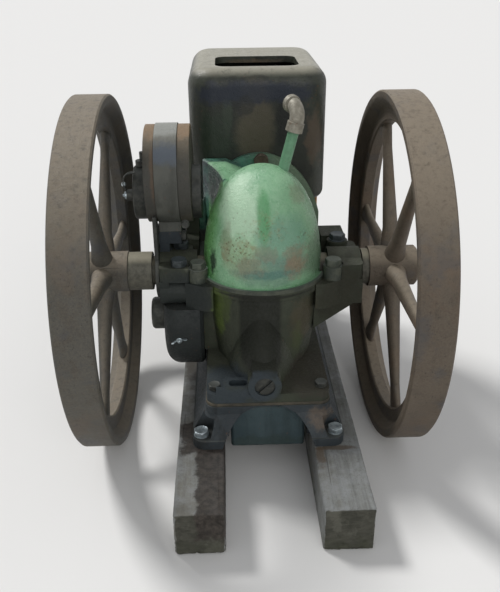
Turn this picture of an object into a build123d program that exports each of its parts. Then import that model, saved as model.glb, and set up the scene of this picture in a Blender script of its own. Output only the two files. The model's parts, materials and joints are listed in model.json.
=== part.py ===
from build123d import *
import math
import os

os.makedirs("parts", exist_ok=True)

# Crank line and overall reach, in mm
deck_drop = 118
base_height = 54
hub_reach_left = 245.5
hub_reach_right = 206
skid_length = 719
skid_front_reach = 279

# Clearances
bearing_clearance = 0.05
hub_clearance = 0.03
seat_gap = 0.1
tank_gap = 3
guard_clearance = 5

# Wooden skids
skid_width = 59
skid_height = 60
skid_spacing = 169
skid_edge = 2.5

# Sub-base casting
base_width = 190
base_length = 500
base_front_reach = 165
base_corner = 16
foot_thickness = 12
deck_width = 156
deck_thickness = 10
deck_front_reach = 152
deck_corner = 14
wall_inset = 4
arch_half_width = 58
arch_pull_x = 34
arch_pull_height = 21
foot_bolt_x = 84
foot_bolt_front = 149
foot_bolt_rear = 305
pocket_radius = 17
pocket_roof = 7

# Fuel tank between the skids
tank_width = 94
tank_front_reach = 138
tank_rear_reach = 240
tank_hang = 18
tank_corner = 4
tank_front_round = 3

# Gasket and crankcase bed
gasket_thickness = 4
gasket_inset = 1
bed_inset = 2
bed_thickness = 12
bed_corner_bolt_x = 66
bed_corner_bolt_front = 133
bed_corner_bolt_rear = 312

# Crankcase
case_radius_top = 80
case_half_width_low = 66
case_front_low = 98
bulge_top_drop = 12
bulge_top_half = 24
bulge_top_reach = 70
bulge_waist_drop = 36
bulge_waist_half = 30
bulge_waist_reach = 88
bulge_low_half = 40
bulge_low_reach = 132
bulge_foot_half = 52
bulge_foot_reach = 140
case_rear_reach = 95
lip_radius = 85
lip_thickness = 9
chamber_radius = 26

# Shaft and bearing housings
shaft_diameter = 38
housing_inner = 78
housing_reach_left = 135
housing_reach_right = 129
housing_half_length = 42
housing_drop = 35
housing_corner = 16
housing_end_rib = 12
housing_end_radius = 41
arm_root_half_length = 56
arm_root_reach = 102
gusset_reach = 118
gusset_foot_drop = 71
gusset_thickness = 14
cap_inner = 93
cap_crown_inner = 86
cap_height = 20
cap_corner = 8
cap_crown_radius = 27
cap_bolt_x = 109
cap_bolt_y = 30
cap_pad_x = 104
cap_front_x = 111
cap_front_y = -29.5
cap_pad_radius = 14
cap_pad_height = 7
cap_relief = 0.5

# Oil plug boss
boss_x = -4.5
boss_radius = 20.5
boss_neck_width = 30
boss_lift = 28
boss_neck_height = 22
boss_front_reach = 153
plug_radius = 12.5
plug_recess = 3
plug_length = 6
plug_slot_width = 4
plug_slot_depth = 2.5
plug_slot_angle = 45
ledge_length = 34
ledge_width = 26
ledge_height = 9
ledge_x = -38
rim_wall = 6
ledge_pocket_x = -37
ledge_pocket_length = 22
ledge_pocket_width = 13
ledge_pocket_depth = 7

# Light green crankcase cover
cover_radius = 78
cover_height = 137
cover_fullness = 0.61
tunnel_radius = 77
tunnel_height = 92
cover_flange = 5
cover_ear_left = 84.5
cover_ear_right = 90
cover_ear_y = -35
cover_ear_radius = 12.5
cover_ear_height = 18
arch_flange_thickness = 7
arch_flange_half_width = 90
arch_flange_height = 128
arch_bolt_x = 3
arch_bolt_height = 123
horn_reach = 78
horn_height = 126
horn_front_y = -4
horn_throat_x = 50
horn_ridge_x = 46
horn_inner_x = 8
horn_inner_height = 111
horn_middle_x = 60
horn_middle_y = 46
horn_edge = 2

# Breather pipe
pipe_diameter = 14
pipe_start_x = 25
pipe_start_y = 5
pipe_start_height = 126
pipe_lean = 15
pipe_rise = 58
pipe_collar_diameter = 21.5
pipe_collar_length = 12
elbow_bend = 17
elbow_turn = 88
elbow_heading = 117
elbow_diameter = 18.5
elbow_mouth_diameter = 22.5
elbow_mouth_length = 7

# Gear case on the left side
gear_radius = 68
gear_y = 8
gear_drop = 70
gear_reach = 132
gear_pad_inner = 60
gear_pad_half = 44
gear_edge = 20
gear_seat_edge = 4
governor_radius = 22
governor_reach = 151
governor_edge = 5
governor_y = 0
governor_drop = 63.5

# Magneto
magneto_radius = 62.5
magneto_y = 29
magneto_height = 125
magneto_left_reach = 147
magneto_right_reach = 90
magneto_plate_left = 13
magneto_plate_right = 15.5
magneto_foot_height = 55
magneto_axis_height = 100
magneto_cap_radius = 35
magneto_cap_length = 18
magneto_cap_edge = 3
magneto_step = 1.5
terminal_x = 155
terminal_top_x = 153
terminal_low_radius = 7
terminal_low_height = 8
terminal_top_radius = 3.5
terminal_top_height = 11
contact_radius = 7
contact_length = 8
contact_y = 6
contact_height = 104
shelf_height = 25
shelf_front_y = 44
shelf_rear_y = 92
shelf_drop = 12
shelf_reach = 134
bracket_plate = 9
bracket_front_y = 46
bracket_rear_y = 90
bracket_saddle_low = 38
bracket_right_reach = 106
bracket_left_reach = 144
bracket_saddle_half = 30

# Thin plate between the left sleeve and the bearing
guard_thickness = 5
guard_ring_radius = 36
guard_arm_width = 24
guard_arm_y = -14.5
guard_arm_top = 84

# Shoulder behind the right bearing
shoulder_reach = 118
shoulder_height = 24

# Hopper and cylinder
hopper_half_width = 95
hopper_front_y = 97
hopper_rear_y = 330
hopper_bottom = 58
hopper_top = 243
hopper_edge = 34
hopper_top_edge = 24
hopper_bottom_edge = 12
hopper_wall = 9
hopper_floor = 84
mouth_width = 115
mouth_length = 92
mouth_front_y = 124
mouth_corner = 16
barrel_radius = 74
saddle_half_width = 44
saddle_front_y = 236
saddle_length = 78

# Cylinder head and valve gear, at the back
head_size = 158
head_corner = 34
head_flange = 16
head_thickness = 40
head_stud_spacing = 124
head_edge = 5
pushrod_x = 93
pushrod_diameter = 9
pushrod_height = 41
guide_size = 20
guide_length = 22
rocker_thickness = 12
rocker_height = 18
rocker_y = 408
rocker_pivot_x = 50
valve_x = 10
intake_x = 32
spring_radius = 9
spring_length = 24
spring_wire = 2.4
valve_stem_radius = 4
valve_cap_radius = 11
valve_cap_length = 4
plug_x = 44
plug_drop = 34
plug_hex = 22
plug_body_length = 44

# Mixer, fuel line and exhaust stub
mixer_y = 350
mixer_height = 30
mixer_neck_radius = 15
mixer_body_radius = 20
mixer_body_height = 64
mixer_bowl_radius = 14
mixer_waist = 6
mixer_x = 112
line_diameter = 8
line_bend = 12
line_x = 24
line_drop = 146
line_run_drop = 5
exhaust_radius = 18
exhaust_bore = 15
exhaust_top = 142
exhaust_collar_radius = 20
exhaust_collar_height = 14

# Flywheels
wheel_diameter = 457
rim_width = 44
rim_edge = 10.6
rim_root = 20
rim_rib_width = 18
rim_rib_depth = 38
rim_edge_cut = 2
hub_diameter = 54
hub_length_left = 68
hub_length_right = 65
hub_edge = 2.5
wheel_shift_left = 1
wheel_shift_right = 1
spoke_count = 6
first_spoke_left = 34
first_spoke_right = 28
spoke_root_radius = 20
spoke_root_width = 26
spoke_root_depth = 30
spoke_low_radius = 52
spoke_low_width = 24
spoke_low_depth = 20
spoke_high_radius = 160
spoke_high_width = 19
spoke_high_depth = 12
spoke_tip_width = 32
spoke_tip_depth = 12.5
spoke_sink = 4
sleeve_diameter = 51
sleeve_reach = 145.5
collar_radius = 24
collar_reach = 131.5
key_width = 8
key_height = 8
key_length = 60

# Hexagon sizes across the flats, head heights
bolt_large_flats = 19
bolt_large_head = 12
bolt_foot_flats = 17
bolt_foot_head = 8
bolt_small_flats = 14
bolt_small_head = 8
washer_thickness = 2.5
thin_washer = 0.5
washer_margin = 3
thin_margin = 0.5
foot_margin = 1

# Derived places
crank_height = deck_drop + base_height + skid_height
engine_x = (hub_reach_left - hub_reach_right) / 2
crank_y = skid_front_reach - skid_length / 2
ground = -crank_height
skid_top = ground + skid_height
foot_top = skid_top + foot_thickness
deck_top = -deck_drop
deck_bottom = deck_top - deck_thickness
bed_bottom = deck_top + gasket_thickness
bed_top = bed_bottom + bed_thickness
base_rear = base_length - base_front_reach
deck_length = base_rear - wall_inset + deck_front_reach
deck_middle = (base_rear - wall_inset - deck_front_reach) / 2
base_middle = (base_rear - base_front_reach) / 2
shaft_radius = shaft_diameter / 2
tank_bottom = skid_top - tank_hang
boss_centre = deck_top + boss_lift
boss_top = boss_centre + boss_neck_height
line_radius = line_diameter / 2
line_run = skid_top - line_run_drop - line_radius
plug_seat = plug_recess + plug_length
case_shaft_room = shaft_radius + bearing_clearance
wheel_centre_left = hub_reach_left - hub_length_left / 2 - wheel_shift_left
wheel_centre_right = hub_reach_right - hub_length_right / 2 + wheel_shift_right
full_turn = 360
half_turn = 180
housings = ((-1, housing_reach_left, cover_ear_left), (1, housing_reach_right, cover_ear_right))


def at(x, y, z):
    return Vector(engine_x + x, crank_y + y, crank_height + z)


def level(z):
    return Plane(origin=at(0, 0, z))


def front_plane(y):
    return Plane(origin=at(0, y, 0), x_dir=(1, 0, 0), z_dir=(0, -1, 0))


def rear_plane(y):
    return Plane(origin=at(0, y, 0), x_dir=(-1, 0, 0), z_dir=(0, 1, 0))


def side_plane(x):
    return Plane(origin=at(x, 0, 0), x_dir=(0, 1, 0), z_dir=(1, 0, 0))


def save(piece, label):
    piece.part.label = label
    export_step(piece.part, f"parts/{label}.step")


def hexes(seat, spots, flats, height, washer=washer_thickness, margin=washer_margin):
    with BuildPart() as group:
        with BuildSketch(seat):
            with Locations(*spots):
                Circle(flats / 2 + margin)
        extrude(amount=washer)
        with BuildSketch(seat.offset(washer)):
            with Locations(*spots):
                RegularPolygon(flats / 2, 6, major_radius=False)
        extrude(amount=height)
    return group.part


def thin_hexes(seat, spots, height):
    return hexes(seat, spots, bolt_large_flats, height, thin_washer, thin_margin)


crank_axis = Axis(at(0, 0, 0), (1, 0, 0))

# Two wooden skids
for label, side in (("skid_left", -1), ("skid_right", 1)):
    with BuildPart() as skid:
        with BuildSketch(level(ground)):
            with Locations((side * skid_spacing / 2, skid_length / 2 - skid_front_reach)):
                Rectangle(skid_width, skid_length)
        extrude(amount=skid_height)
        chamfer(skid.edges(), skid_edge)
    save(skid, label)

# Sub-base casting: foot plate, sloping walls, deck
foot_spots = [(sx * foot_bolt_x, y) for sx in (-1, 1) for y in (-foot_bolt_front, foot_bolt_rear)]
with BuildPart() as sub_base:
    with BuildSketch(level(skid_top)):
        with Locations((0, base_middle)):
            RectangleRounded(base_width, base_length, base_corner)
    extrude(amount=foot_thickness)
    with BuildSketch(level(foot_top)):
        with Locations((0, base_middle)):
            RectangleRounded(base_width - wall_inset, base_length - wall_inset, base_corner)
    with BuildSketch(level(deck_bottom)):
        with Locations((0, deck_middle)):
            RectangleRounded(deck_width - wall_inset, deck_length - wall_inset, base_corner)
    loft()
    with BuildSketch(level(deck_bottom)):
        with Locations((0, deck_middle)):
            RectangleRounded(deck_width, deck_length, deck_corner)
    extrude(amount=deck_thickness)
    with BuildSketch(level(foot_top)):
        with Locations(*foot_spots):
            Circle(pocket_radius)
    extrude(amount=deck_bottom - pocket_roof - foot_top, mode=Mode.SUBTRACT)
    # Bay for the tank, open at the bottom
    with BuildSketch(level(skid_top)):
        with Locations((0, (tank_rear_reach - tank_front_reach) / 2)):
            Rectangle(tank_width + 2 * tank_gap, tank_rear_reach + tank_front_reach + 2 * tank_gap)
    extrude(amount=deck_bottom - skid_top, mode=Mode.SUBTRACT)
    # Arch cut through the front wall
    with BuildSketch(front_plane(-tank_front_reach)):
        with BuildLine():
            Bezier(
                (-arch_half_width, skid_top),
                (-arch_pull_x, deck_top + arch_pull_height),
                (arch_pull_x, deck_top + arch_pull_height),
                (arch_half_width, skid_top),
            )
            Line((-arch_half_width, skid_top), (arch_half_width, skid_top))
        make_face()
    extrude(amount=base_front_reach, mode=Mode.SUBTRACT)
save(sub_base, "sub_base")

# Foot bolts with washers on the foot plate
foot_hexes = hexes(level(foot_top), foot_spots, bolt_foot_flats, bolt_foot_head, margin=foot_margin)
with BuildPart() as base_bolts:
    add(foot_hexes)
save(base_bolts, "base_bolts")

# Fuel tank hung under the deck between the skids
with BuildPart() as fuel_tank:
    with BuildSketch(front_plane(tank_rear_reach)):
        with Locations((0, (deck_bottom + tank_bottom) / 2)):
            RectangleRounded(tank_width, deck_bottom - tank_bottom, tank_corner)
    extrude(amount=tank_rear_reach + tank_front_reach)
    tank_front_edges = fuel_tank.faces().sort_by(Axis.Y)[0].edges()
    chamfer(tank_front_edges, tank_front_round)
save(fuel_tank, "fuel_tank")

# Gasket line between the deck and the crankcase bed
with BuildPart() as base_gasket:
    with BuildSketch(level(deck_top)):
        with Locations((0, deck_middle)):
            RectangleRounded(deck_width - 2 * gasket_inset, deck_length - 2 * gasket_inset, deck_corner)
    extrude(amount=gasket_thickness)
save(base_gasket, "base_gasket")

# Crankcase: bed, tapering front barrel, lip and both bearing housings
with BuildPart() as crankcase:
    with BuildSketch(level(bed_bottom)):
        with Locations((0, deck_middle)):
            RectangleRounded(deck_width - 2 * bed_inset, deck_length - 2 * bed_inset, deck_corner)
    extrude(amount=bed_thickness)
    with BuildSketch(level(bed_top)):
        Ellipse(case_half_width_low, case_front_low)
        with Locations((0, case_front_low)):
            Rectangle(2 * case_half_width_low, 2 * case_front_low, mode=Mode.SUBTRACT)
        with Locations((0, case_rear_reach / 2)):
            Rectangle(2 * case_half_width_low, case_rear_reach)
    with BuildSketch(level(-lip_thickness)):
        Circle(case_radius_top)
        with Locations((0, case_rear_reach / 2)):
            Rectangle(2 * case_radius_top, case_rear_reach)
    loft(ruled=True)
    with BuildSketch(level(-lip_thickness)):
        Circle(lip_radius)
        with Locations((0, case_rear_reach / 2)):
            Rectangle(2 * lip_radius, case_rear_reach)
    extrude(amount=lip_thickness)
    # Rounded bulge in the front wall that swells down to the oil plug boss
    for height, half_width, reach in (
        (-bulge_top_drop, bulge_top_half, bulge_top_reach),
        (-bulge_waist_drop, bulge_waist_half, bulge_waist_reach),
        (boss_top, bulge_low_half, bulge_low_reach),
        (bed_top, bulge_foot_half, bulge_foot_reach),
    ):
        with BuildSketch(level(height)):
            with Locations((boss_x, 0)):
                Ellipse(half_width, reach)
            with Locations((boss_x, reach)):
                Rectangle(2 * half_width, 2 * reach, mode=Mode.SUBTRACT)
    loft()
    # Oil plug boss on the front
    with BuildSketch(front_plane(-case_radius_top)):
        with Locations((boss_x, boss_centre)):
            Circle(boss_radius)
        with Locations((boss_x, (boss_centre + boss_top) / 2)):
            Rectangle(boss_neck_width, boss_neck_height)
    extrude(amount=boss_front_reach - case_radius_top)
    with BuildSketch(front_plane(-boss_front_reach)):
        with Locations((boss_x, boss_centre)):
            Circle(plug_radius + seat_gap)
    extrude(amount=-plug_seat, mode=Mode.SUBTRACT)
    # Ledge on the bed beside the boss
    with BuildSketch(level(bed_top)):
        with Locations((ledge_x, bed_inset + ledge_width / 2 - deck_front_reach)):
            RectangleRounded(ledge_length, ledge_width, ledge_height / 2)
    extrude(amount=ledge_height)
    with BuildSketch(level(bed_top + ledge_height)):
        with Locations((ledge_pocket_x, bed_inset + ledge_width / 2 - deck_front_reach)):
            RectangleRounded(ledge_pocket_length, ledge_pocket_width, ledge_height / 2)
    extrude(amount=-ledge_pocket_depth, mode=Mode.SUBTRACT)
    # Low rim from the ledge to the corner of the bed
    rim_length = deck_width / 2 - deck_corner + ledge_x
    with BuildSketch(level(bed_top)):
        with Locations((ledge_x - rim_length / 2, bed_inset + rim_wall / 2 - deck_front_reach)):
            Rectangle(rim_length, rim_wall)
    extrude(amount=ledge_height)
    # Bearing housings left and right
    for side, housing_reach, ear_x in housings:
        with BuildSketch(side_plane(side * housing_inner)) as housing_section:
            with Locations((0, -housing_drop / 2)):
                Rectangle(2 * housing_half_length, housing_drop)
            fillet(housing_section.vertices().sort_by(Axis.Z)[:2], housing_corner)
        extrude(amount=side * (housing_reach - housing_inner))
        with BuildSketch(level(-housing_drop)):
            with BuildLine():
                Polyline(
                    (side * case_half_width_low, -arm_root_half_length),
                    (side * housing_inner, -arm_root_half_length),
                    (side * arm_root_reach, -housing_half_length),
                    (side * arm_root_reach, housing_half_length),
                    (side * case_half_width_low, housing_half_length),
                    close=True,
                )
            make_face()
        extrude(amount=housing_drop)
        with BuildSketch(side_plane(side * (housing_reach - housing_end_rib))):
            Circle(housing_end_radius)
            with Locations((0, housing_end_radius / 2)):
                Rectangle(2 * housing_end_radius, housing_end_radius, mode=Mode.SUBTRACT)
        extrude(amount=side * housing_end_rib)
        with BuildSketch(level(-2 * lip_thickness)):
            with Locations((side * ear_x, cover_ear_y)):
                Circle(cover_ear_radius)
        extrude(amount=2 * lip_thickness)
    # Gusset under the right housing, pad for the gear case on the left
    with BuildSketch(front_plane(gusset_thickness - housing_half_length)):
        with BuildLine():
            Polyline(
                (gusset_reach, -housing_drop),
                (case_half_width_low, -housing_drop),
                (case_half_width_low, -gusset_foot_drop),
                close=True,
            )
        make_face()
    extrude(amount=gusset_thickness)
    with BuildSketch(side_plane(-case_radius_top)):
        with Locations((gear_y, (bed_top - housing_drop) / 2)):
            Rectangle(2 * gear_pad_half, -bed_top - housing_drop)
    extrude(amount=case_radius_top - gear_pad_inner)
    # Shelf for the magneto on the left
    with BuildSketch(level(-shelf_drop)):
        with BuildLine():
            Polyline(
                (-shelf_reach, shelf_front_y),
                (-case_radius_top, shelf_front_y),
                (-case_radius_top, shelf_rear_y),
                (-shelf_reach, shelf_rear_y),
                close=True,
            )
        make_face()
    extrude(amount=shelf_drop + shelf_height)
    # Shoulder behind the right bearing
    with BuildSketch(level(-shelf_drop)):
        with BuildLine():
            Polyline(
                (case_radius_top, shelf_front_y + cap_corner),
                (shoulder_reach, shelf_front_y + cap_corner),
                (shoulder_reach, shelf_rear_y),
                (case_radius_top, shelf_rear_y),
                close=True,
            )
        make_face()
    extrude(amount=shelf_drop + shoulder_height)
    # Guide for the pushrod
    with BuildSketch(front_plane(shelf_rear_y)):
        with Locations((-pushrod_x, pushrod_height)):
            Rectangle(guide_size, guide_size)
        with Locations((-pushrod_x, (pushrod_height + shelf_height) / 2)):
            Rectangle(guide_size, pushrod_height - shelf_height)
    extrude(amount=guide_length)
    # Room for the flange of the cover
    with BuildSketch(level(0)):
        with Locations((0, case_rear_reach / 2)):
            Rectangle(2 * (lip_radius + seat_gap), case_rear_reach)
    extrude(amount=hopper_top, mode=Mode.SUBTRACT)
    # Shaft bore, wide inside the case and a running fit in the housings
    with BuildSketch(side_plane(-housing_reach_left)):
        Circle(case_shaft_room)
    extrude(amount=housing_reach_left + housing_reach_right, mode=Mode.SUBTRACT)
    with BuildSketch(side_plane(-housing_inner)):
        Circle(chamber_radius)
    extrude(amount=2 * housing_inner, mode=Mode.SUBTRACT)
save(crankcase, "crankcase")

# Corner bolts that hold the bed down
bed_bolt_rows = (-bed_corner_bolt_front, bed_corner_bolt_rear)
bed_spots = [(sx * bed_corner_bolt_x, y) for sx in (-1, 1) for y in bed_bolt_rows]
bed_hexes = hexes(level(bed_top), bed_spots, bolt_small_flats, bolt_small_head, thin_washer, thin_margin)
with BuildPart() as bed_bolts:
    add(bed_hexes)
save(bed_bolts, "bed_bolts")

# Slotted oil plug
with BuildPart() as oil_plug:
    with BuildSketch(front_plane(plug_seat - boss_front_reach)):
        with Locations((boss_x, boss_centre)):
            Circle(plug_radius)
    extrude(amount=plug_length)
    with BuildSketch(front_plane(plug_recess - boss_front_reach)):
        with Locations(Location((boss_x, boss_centre), plug_slot_angle)):
            Rectangle(2 * plug_radius, plug_slot_width)
    extrude(amount=-plug_slot_depth, mode=Mode.SUBTRACT)
save(oil_plug, "oil_plug")

# Horn that reaches from the dome to the magneto: sloping roof and a hollowed front wall
horn_depth = case_rear_reach - arch_flange_thickness / 2
with BuildPart() as horn:
    with BuildSketch(front_plane(horn_depth)):
        with BuildLine():
            Polyline(
                (-horn_reach, 0),
                (-horn_reach, horn_height),
                (-horn_ridge_x, horn_height),
                (-horn_inner_x, horn_inner_height),
                (-horn_inner_x, 0),
                close=True,
            )
        make_face()
    extrude(amount=horn_depth - horn_front_y)
    with BuildSketch(level(0)):
        with BuildLine():
            ThreePointArc(
                (-horn_reach, horn_depth),
                (-horn_middle_x, horn_middle_y),
                (-horn_throat_x, horn_front_y),
            )
            Polyline(
                (-horn_throat_x, horn_front_y),
                (-horn_reach, horn_front_y),
                (-horn_reach, horn_depth),
            )
        make_face()
    extrude(amount=horn_height, mode=Mode.SUBTRACT)
    chamfer(horn.faces().sort_by(Axis.Z)[-1].edges().filter_by(GeomType.CIRCLE), horn_edge)

# Dome cover with its tunnel, rear arch flange, magneto horn and ears
with BuildPart() as crankcase_cover:
    # The dome: a full egg-shaped profile on a short wall, turned round the upright axis
    with BuildSketch(front_plane(0)):
        with BuildLine():
            Bezier(
                (-cover_radius, cover_flange),
                (-cover_radius, cover_flange + cover_fullness * cover_height),
                (-cover_fullness * cover_radius, cover_flange + cover_height),
                (0, cover_flange + cover_height),
            )
            Polyline(
                (0, cover_flange + cover_height),
                (0, 0),
                (-cover_radius, 0),
                (-cover_radius, cover_flange),
            )
        make_face()
    revolve(axis=Axis(at(0, 0, 0), (0, 0, 1)), revolution_arc=full_turn)
    # Lower tunnel behind the dome
    with BuildSketch(front_plane(case_rear_reach)):
        with BuildLine():
            EllipticalCenterArc(
                (0, cover_flange),
                tunnel_radius,
                tunnel_height,
                start_angle=0,
                arc_size=half_turn,
            )
            Polyline(
                (-tunnel_radius, cover_flange),
                (-tunnel_radius, 0),
                (tunnel_radius, 0),
                (tunnel_radius, cover_flange),
            )
        make_face()
    extrude(amount=case_rear_reach)
    # Arch flange against the cylinder
    with BuildSketch(front_plane(case_rear_reach)):
        with Locations((0, cover_flange)):
            Ellipse(arch_flange_half_width, arch_flange_height)
        with Locations((0, (arch_flange_height + cover_flange) / 2)):
            Rectangle(2 * lip_radius, arch_flange_height + cover_flange, mode=Mode.INTERSECT)
        with Locations((-(horn_reach + horn_edge) / 2, horn_height / 2)):
            Rectangle(horn_reach + horn_edge, horn_height)
    extrude(amount=arch_flange_thickness)
    add(horn.part)
    # Foot flange and ears
    with BuildSketch(level(0)):
        Circle(lip_radius)
        with Locations((0, case_rear_reach / 2)):
            Rectangle(2 * lip_radius, case_rear_reach)
    extrude(amount=cover_flange)
    for side, _, ear_x in housings:
        with BuildSketch(level(0)):
            with Locations((side * ear_x, cover_ear_y)):
                Circle(cover_ear_radius)
        extrude(amount=cover_ear_height)
    # Room for the shaft
    with BuildSketch(side_plane(-2 * lip_radius)):
        Circle(chamber_radius)
    extrude(amount=4 * lip_radius, mode=Mode.SUBTRACT)
save(crankcase_cover, "crankcase_cover")

# Bolt high on the arch flange
flange_seat = front_plane(case_rear_reach - arch_flange_thickness)
flange_hex = thin_hexes(flange_seat, [(arch_bolt_x, arch_bolt_height)], bolt_small_head)
with BuildPart() as flange_bolt:
    add(flange_hex)
save(flange_bolt, "flange_bolt")

# Bolts through the cover ears
ear_spots = [(side * ear_x, cover_ear_y) for side, _, ear_x in housings]
ear_hexes = thin_hexes(level(cover_ear_height), ear_spots, bolt_large_head)
with BuildPart() as cover_bolts:
    add(ear_hexes)
save(cover_bolts, "cover_bolts")

# Breather pipe leaning to the right, with a collar and elbow
pipe_foot = at(pipe_start_x, pipe_start_y, pipe_start_height)
pipe_direction = Vector(pipe_lean, 0, pipe_rise).normalized()
with BuildPart() as breather_pipe:
    with BuildSketch(Plane(origin=pipe_foot, z_dir=pipe_direction)):
        Circle(pipe_diameter / 2)
    extrude(amount=pipe_rise)
save(breather_pipe, "breather_pipe")
pipe_end = pipe_foot + pipe_direction * pipe_rise
elbow_start = pipe_end + pipe_direction * pipe_collar_length
heading = math.radians(elbow_heading)
elbow_axis = pipe_direction.cross(Vector(math.cos(heading), math.sin(heading), 0)).normalized()
elbow_side = elbow_axis.cross(pipe_direction)
with BuildPart() as breather_elbow:
    with BuildSketch(Plane(origin=pipe_end, z_dir=pipe_direction)):
        Circle(pipe_collar_diameter / 2)
    extrude(amount=pipe_collar_length)
    with BuildSketch(Plane(origin=elbow_start, z_dir=pipe_direction)):
        Circle(elbow_diameter / 2)
    revolve(axis=Axis(elbow_start + elbow_side * elbow_bend, elbow_axis), revolution_arc=elbow_turn)
    mouth = breather_elbow.faces().filter_by(GeomType.PLANE).sort_by(Axis(elbow_start, elbow_side))[-1]
    with BuildSketch(Plane(mouth)):
        Circle(elbow_mouth_diameter / 2)
        Circle(pipe_diameter / 2, mode=Mode.SUBTRACT)
    extrude(amount=elbow_mouth_length)
save(breather_elbow, "breather_elbow")

# Bearing caps: a plate with a round crown over the shaft and a stepped end
for label, (side, housing_reach, ear_x) in zip(("bearing_cap_left", "bearing_cap_right"), housings):
    with BuildPart() as bearing_cap:
        with BuildSketch(level(0)):
            with Locations((side * (housing_reach + cap_inner) / 2, 0)):
                RectangleRounded(housing_reach - cap_inner, 2 * housing_half_length, cap_corner)
        extrude(amount=cap_height)
        with BuildSketch(side_plane(side * cap_crown_inner)):
            Circle(cap_crown_radius)
            with Locations((0, -cap_crown_radius / 2)):
                Rectangle(2 * cap_crown_radius, cap_crown_radius, mode=Mode.SUBTRACT)
        extrude(amount=side * (housing_reach - cap_crown_inner))
        # Raised pad under the rear bolt on the right
        if side > 0:
            with BuildSketch(level(0)):
                with Locations((cap_pad_x, cap_bolt_y)):
                    Circle(cap_pad_radius)
            extrude(amount=cap_height + cap_pad_height)
        with BuildSketch(side_plane(0)):
            Circle(case_shaft_room)
        extrude(amount=side * 2 * housing_reach, mode=Mode.SUBTRACT)
        # Relief round the ear of the cover
        with BuildSketch(level(0)):
            with Locations((side * ear_x, cover_ear_y)):
                Circle(cover_ear_radius + cap_relief)
        extrude(amount=2 * cap_crown_radius, mode=Mode.SUBTRACT)
    save(bearing_cap, label)

# Bearing cap bolts
cap_spots = [(-cap_bolt_x, -cap_bolt_y), (-cap_bolt_x, cap_bolt_y), (cap_front_x, cap_front_y)]
cap_hexes = thin_hexes(level(cap_height), cap_spots, bolt_large_head)
pad_hex = thin_hexes(level(cap_height + cap_pad_height), [(cap_pad_x, cap_bolt_y)], bolt_large_head)
with BuildPart() as cap_bolts:
    add(cap_hexes)
    add(pad_hex)
save(cap_bolts, "cap_bolts")

# Thin plate on the end of the left bearing, with an arm up to the magneto
with BuildPart() as guard_plate:
    with BuildSketch(side_plane(-housing_reach_left)):
        Circle(guard_ring_radius)
        with Locations((guard_arm_y, guard_arm_top / 2)):
            Rectangle(guard_arm_width, guard_arm_top)
        Circle(shaft_radius + guard_clearance, mode=Mode.SUBTRACT)
        with Locations((magneto_y, magneto_height)):
            Circle(magneto_radius + magneto_step + seat_gap, mode=Mode.SUBTRACT)
    extrude(amount=-guard_thickness)
save(guard_plate, "guard_plate")

# Gear case under the left bearing, with the end disc of its small shaft
with BuildPart() as gear_case:
    with BuildSketch(side_plane(-gear_reach)):
        with Locations((gear_y, -gear_drop)):
            Circle(gear_radius)
    extrude(amount=gear_reach - case_radius_top)
    fillet(gear_case.faces().sort_by(Axis.X)[0].edges(), gear_edge)
    chamfer(gear_case.faces().sort_by(Axis.X)[-1].edges(), gear_seat_edge)
    with BuildSketch(level(-housing_drop - seat_gap)):
        with Locations((-gear_reach, 0)):
            Rectangle(4 * gear_radius, 4 * gear_radius)
    extrude(amount=gear_radius, mode=Mode.SUBTRACT)
    # Room for the round end of the bearing housing
    with BuildSketch(side_plane(-housing_reach_left)):
        Circle(housing_end_radius + seat_gap)
    extrude(amount=housing_end_rib + seat_gap, mode=Mode.SUBTRACT)
save(gear_case, "gear_case")
with BuildPart() as governor_disc:
    with BuildSketch(side_plane(-gear_reach)):
        with Locations((governor_y, -governor_drop)):
            Circle(governor_radius)
    extrude(amount=gear_reach - governor_reach)
    fillet(governor_disc.faces().sort_by(Axis.X)[0].edges(), governor_edge)
save(governor_disc, "governor_disc")

# Magneto: steel middle, two cast end plates, cap, terminal and drive end
magneto_seat_left = magneto_left_reach - magneto_plate_left
magneto_seat_right = magneto_right_reach + magneto_plate_right
with BuildPart() as magneto_body:
    with BuildSketch(side_plane(-magneto_seat_left)):
        with Locations((magneto_y, magneto_height)):
            Circle(magneto_radius + magneto_step)
        with Locations((magneto_y, (magneto_foot_height + magneto_height) / 2)):
            Rectangle(2 * bracket_saddle_half, magneto_height - magneto_foot_height)
    extrude(amount=magneto_seat_left - magneto_seat_right)
save(magneto_body, "magneto_body")
with BuildPart() as magneto_plates:
    with BuildSketch(side_plane(-magneto_left_reach)):
        with Locations((magneto_y, magneto_height)):
            Circle(magneto_radius)
    extrude(amount=magneto_plate_left)
    with BuildSketch(side_plane(-magneto_seat_right)):
        with Locations((magneto_y, magneto_height)):
            Circle(magneto_radius)
    extrude(amount=magneto_plate_right)
save(magneto_plates, "magneto_plates")
with BuildPart() as magneto_cap:
    with BuildSketch(side_plane(-magneto_left_reach - magneto_cap_length)):
        with Locations((magneto_y, magneto_axis_height)):
            Circle(magneto_cap_radius)
    extrude(amount=magneto_cap_length)
    fillet(magneto_cap.faces().sort_by(Axis.X)[0].edges(), magneto_cap_edge)
save(magneto_cap, "magneto_cap")
with BuildPart() as magneto_drive:
    with BuildSketch(side_plane(-magneto_right_reach)):
        with Locations((magneto_y, magneto_axis_height)):
            Circle(magneto_cap_radius)
    extrude(amount=magneto_right_reach - horn_reach)
save(magneto_drive, "magneto_drive")

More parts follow.
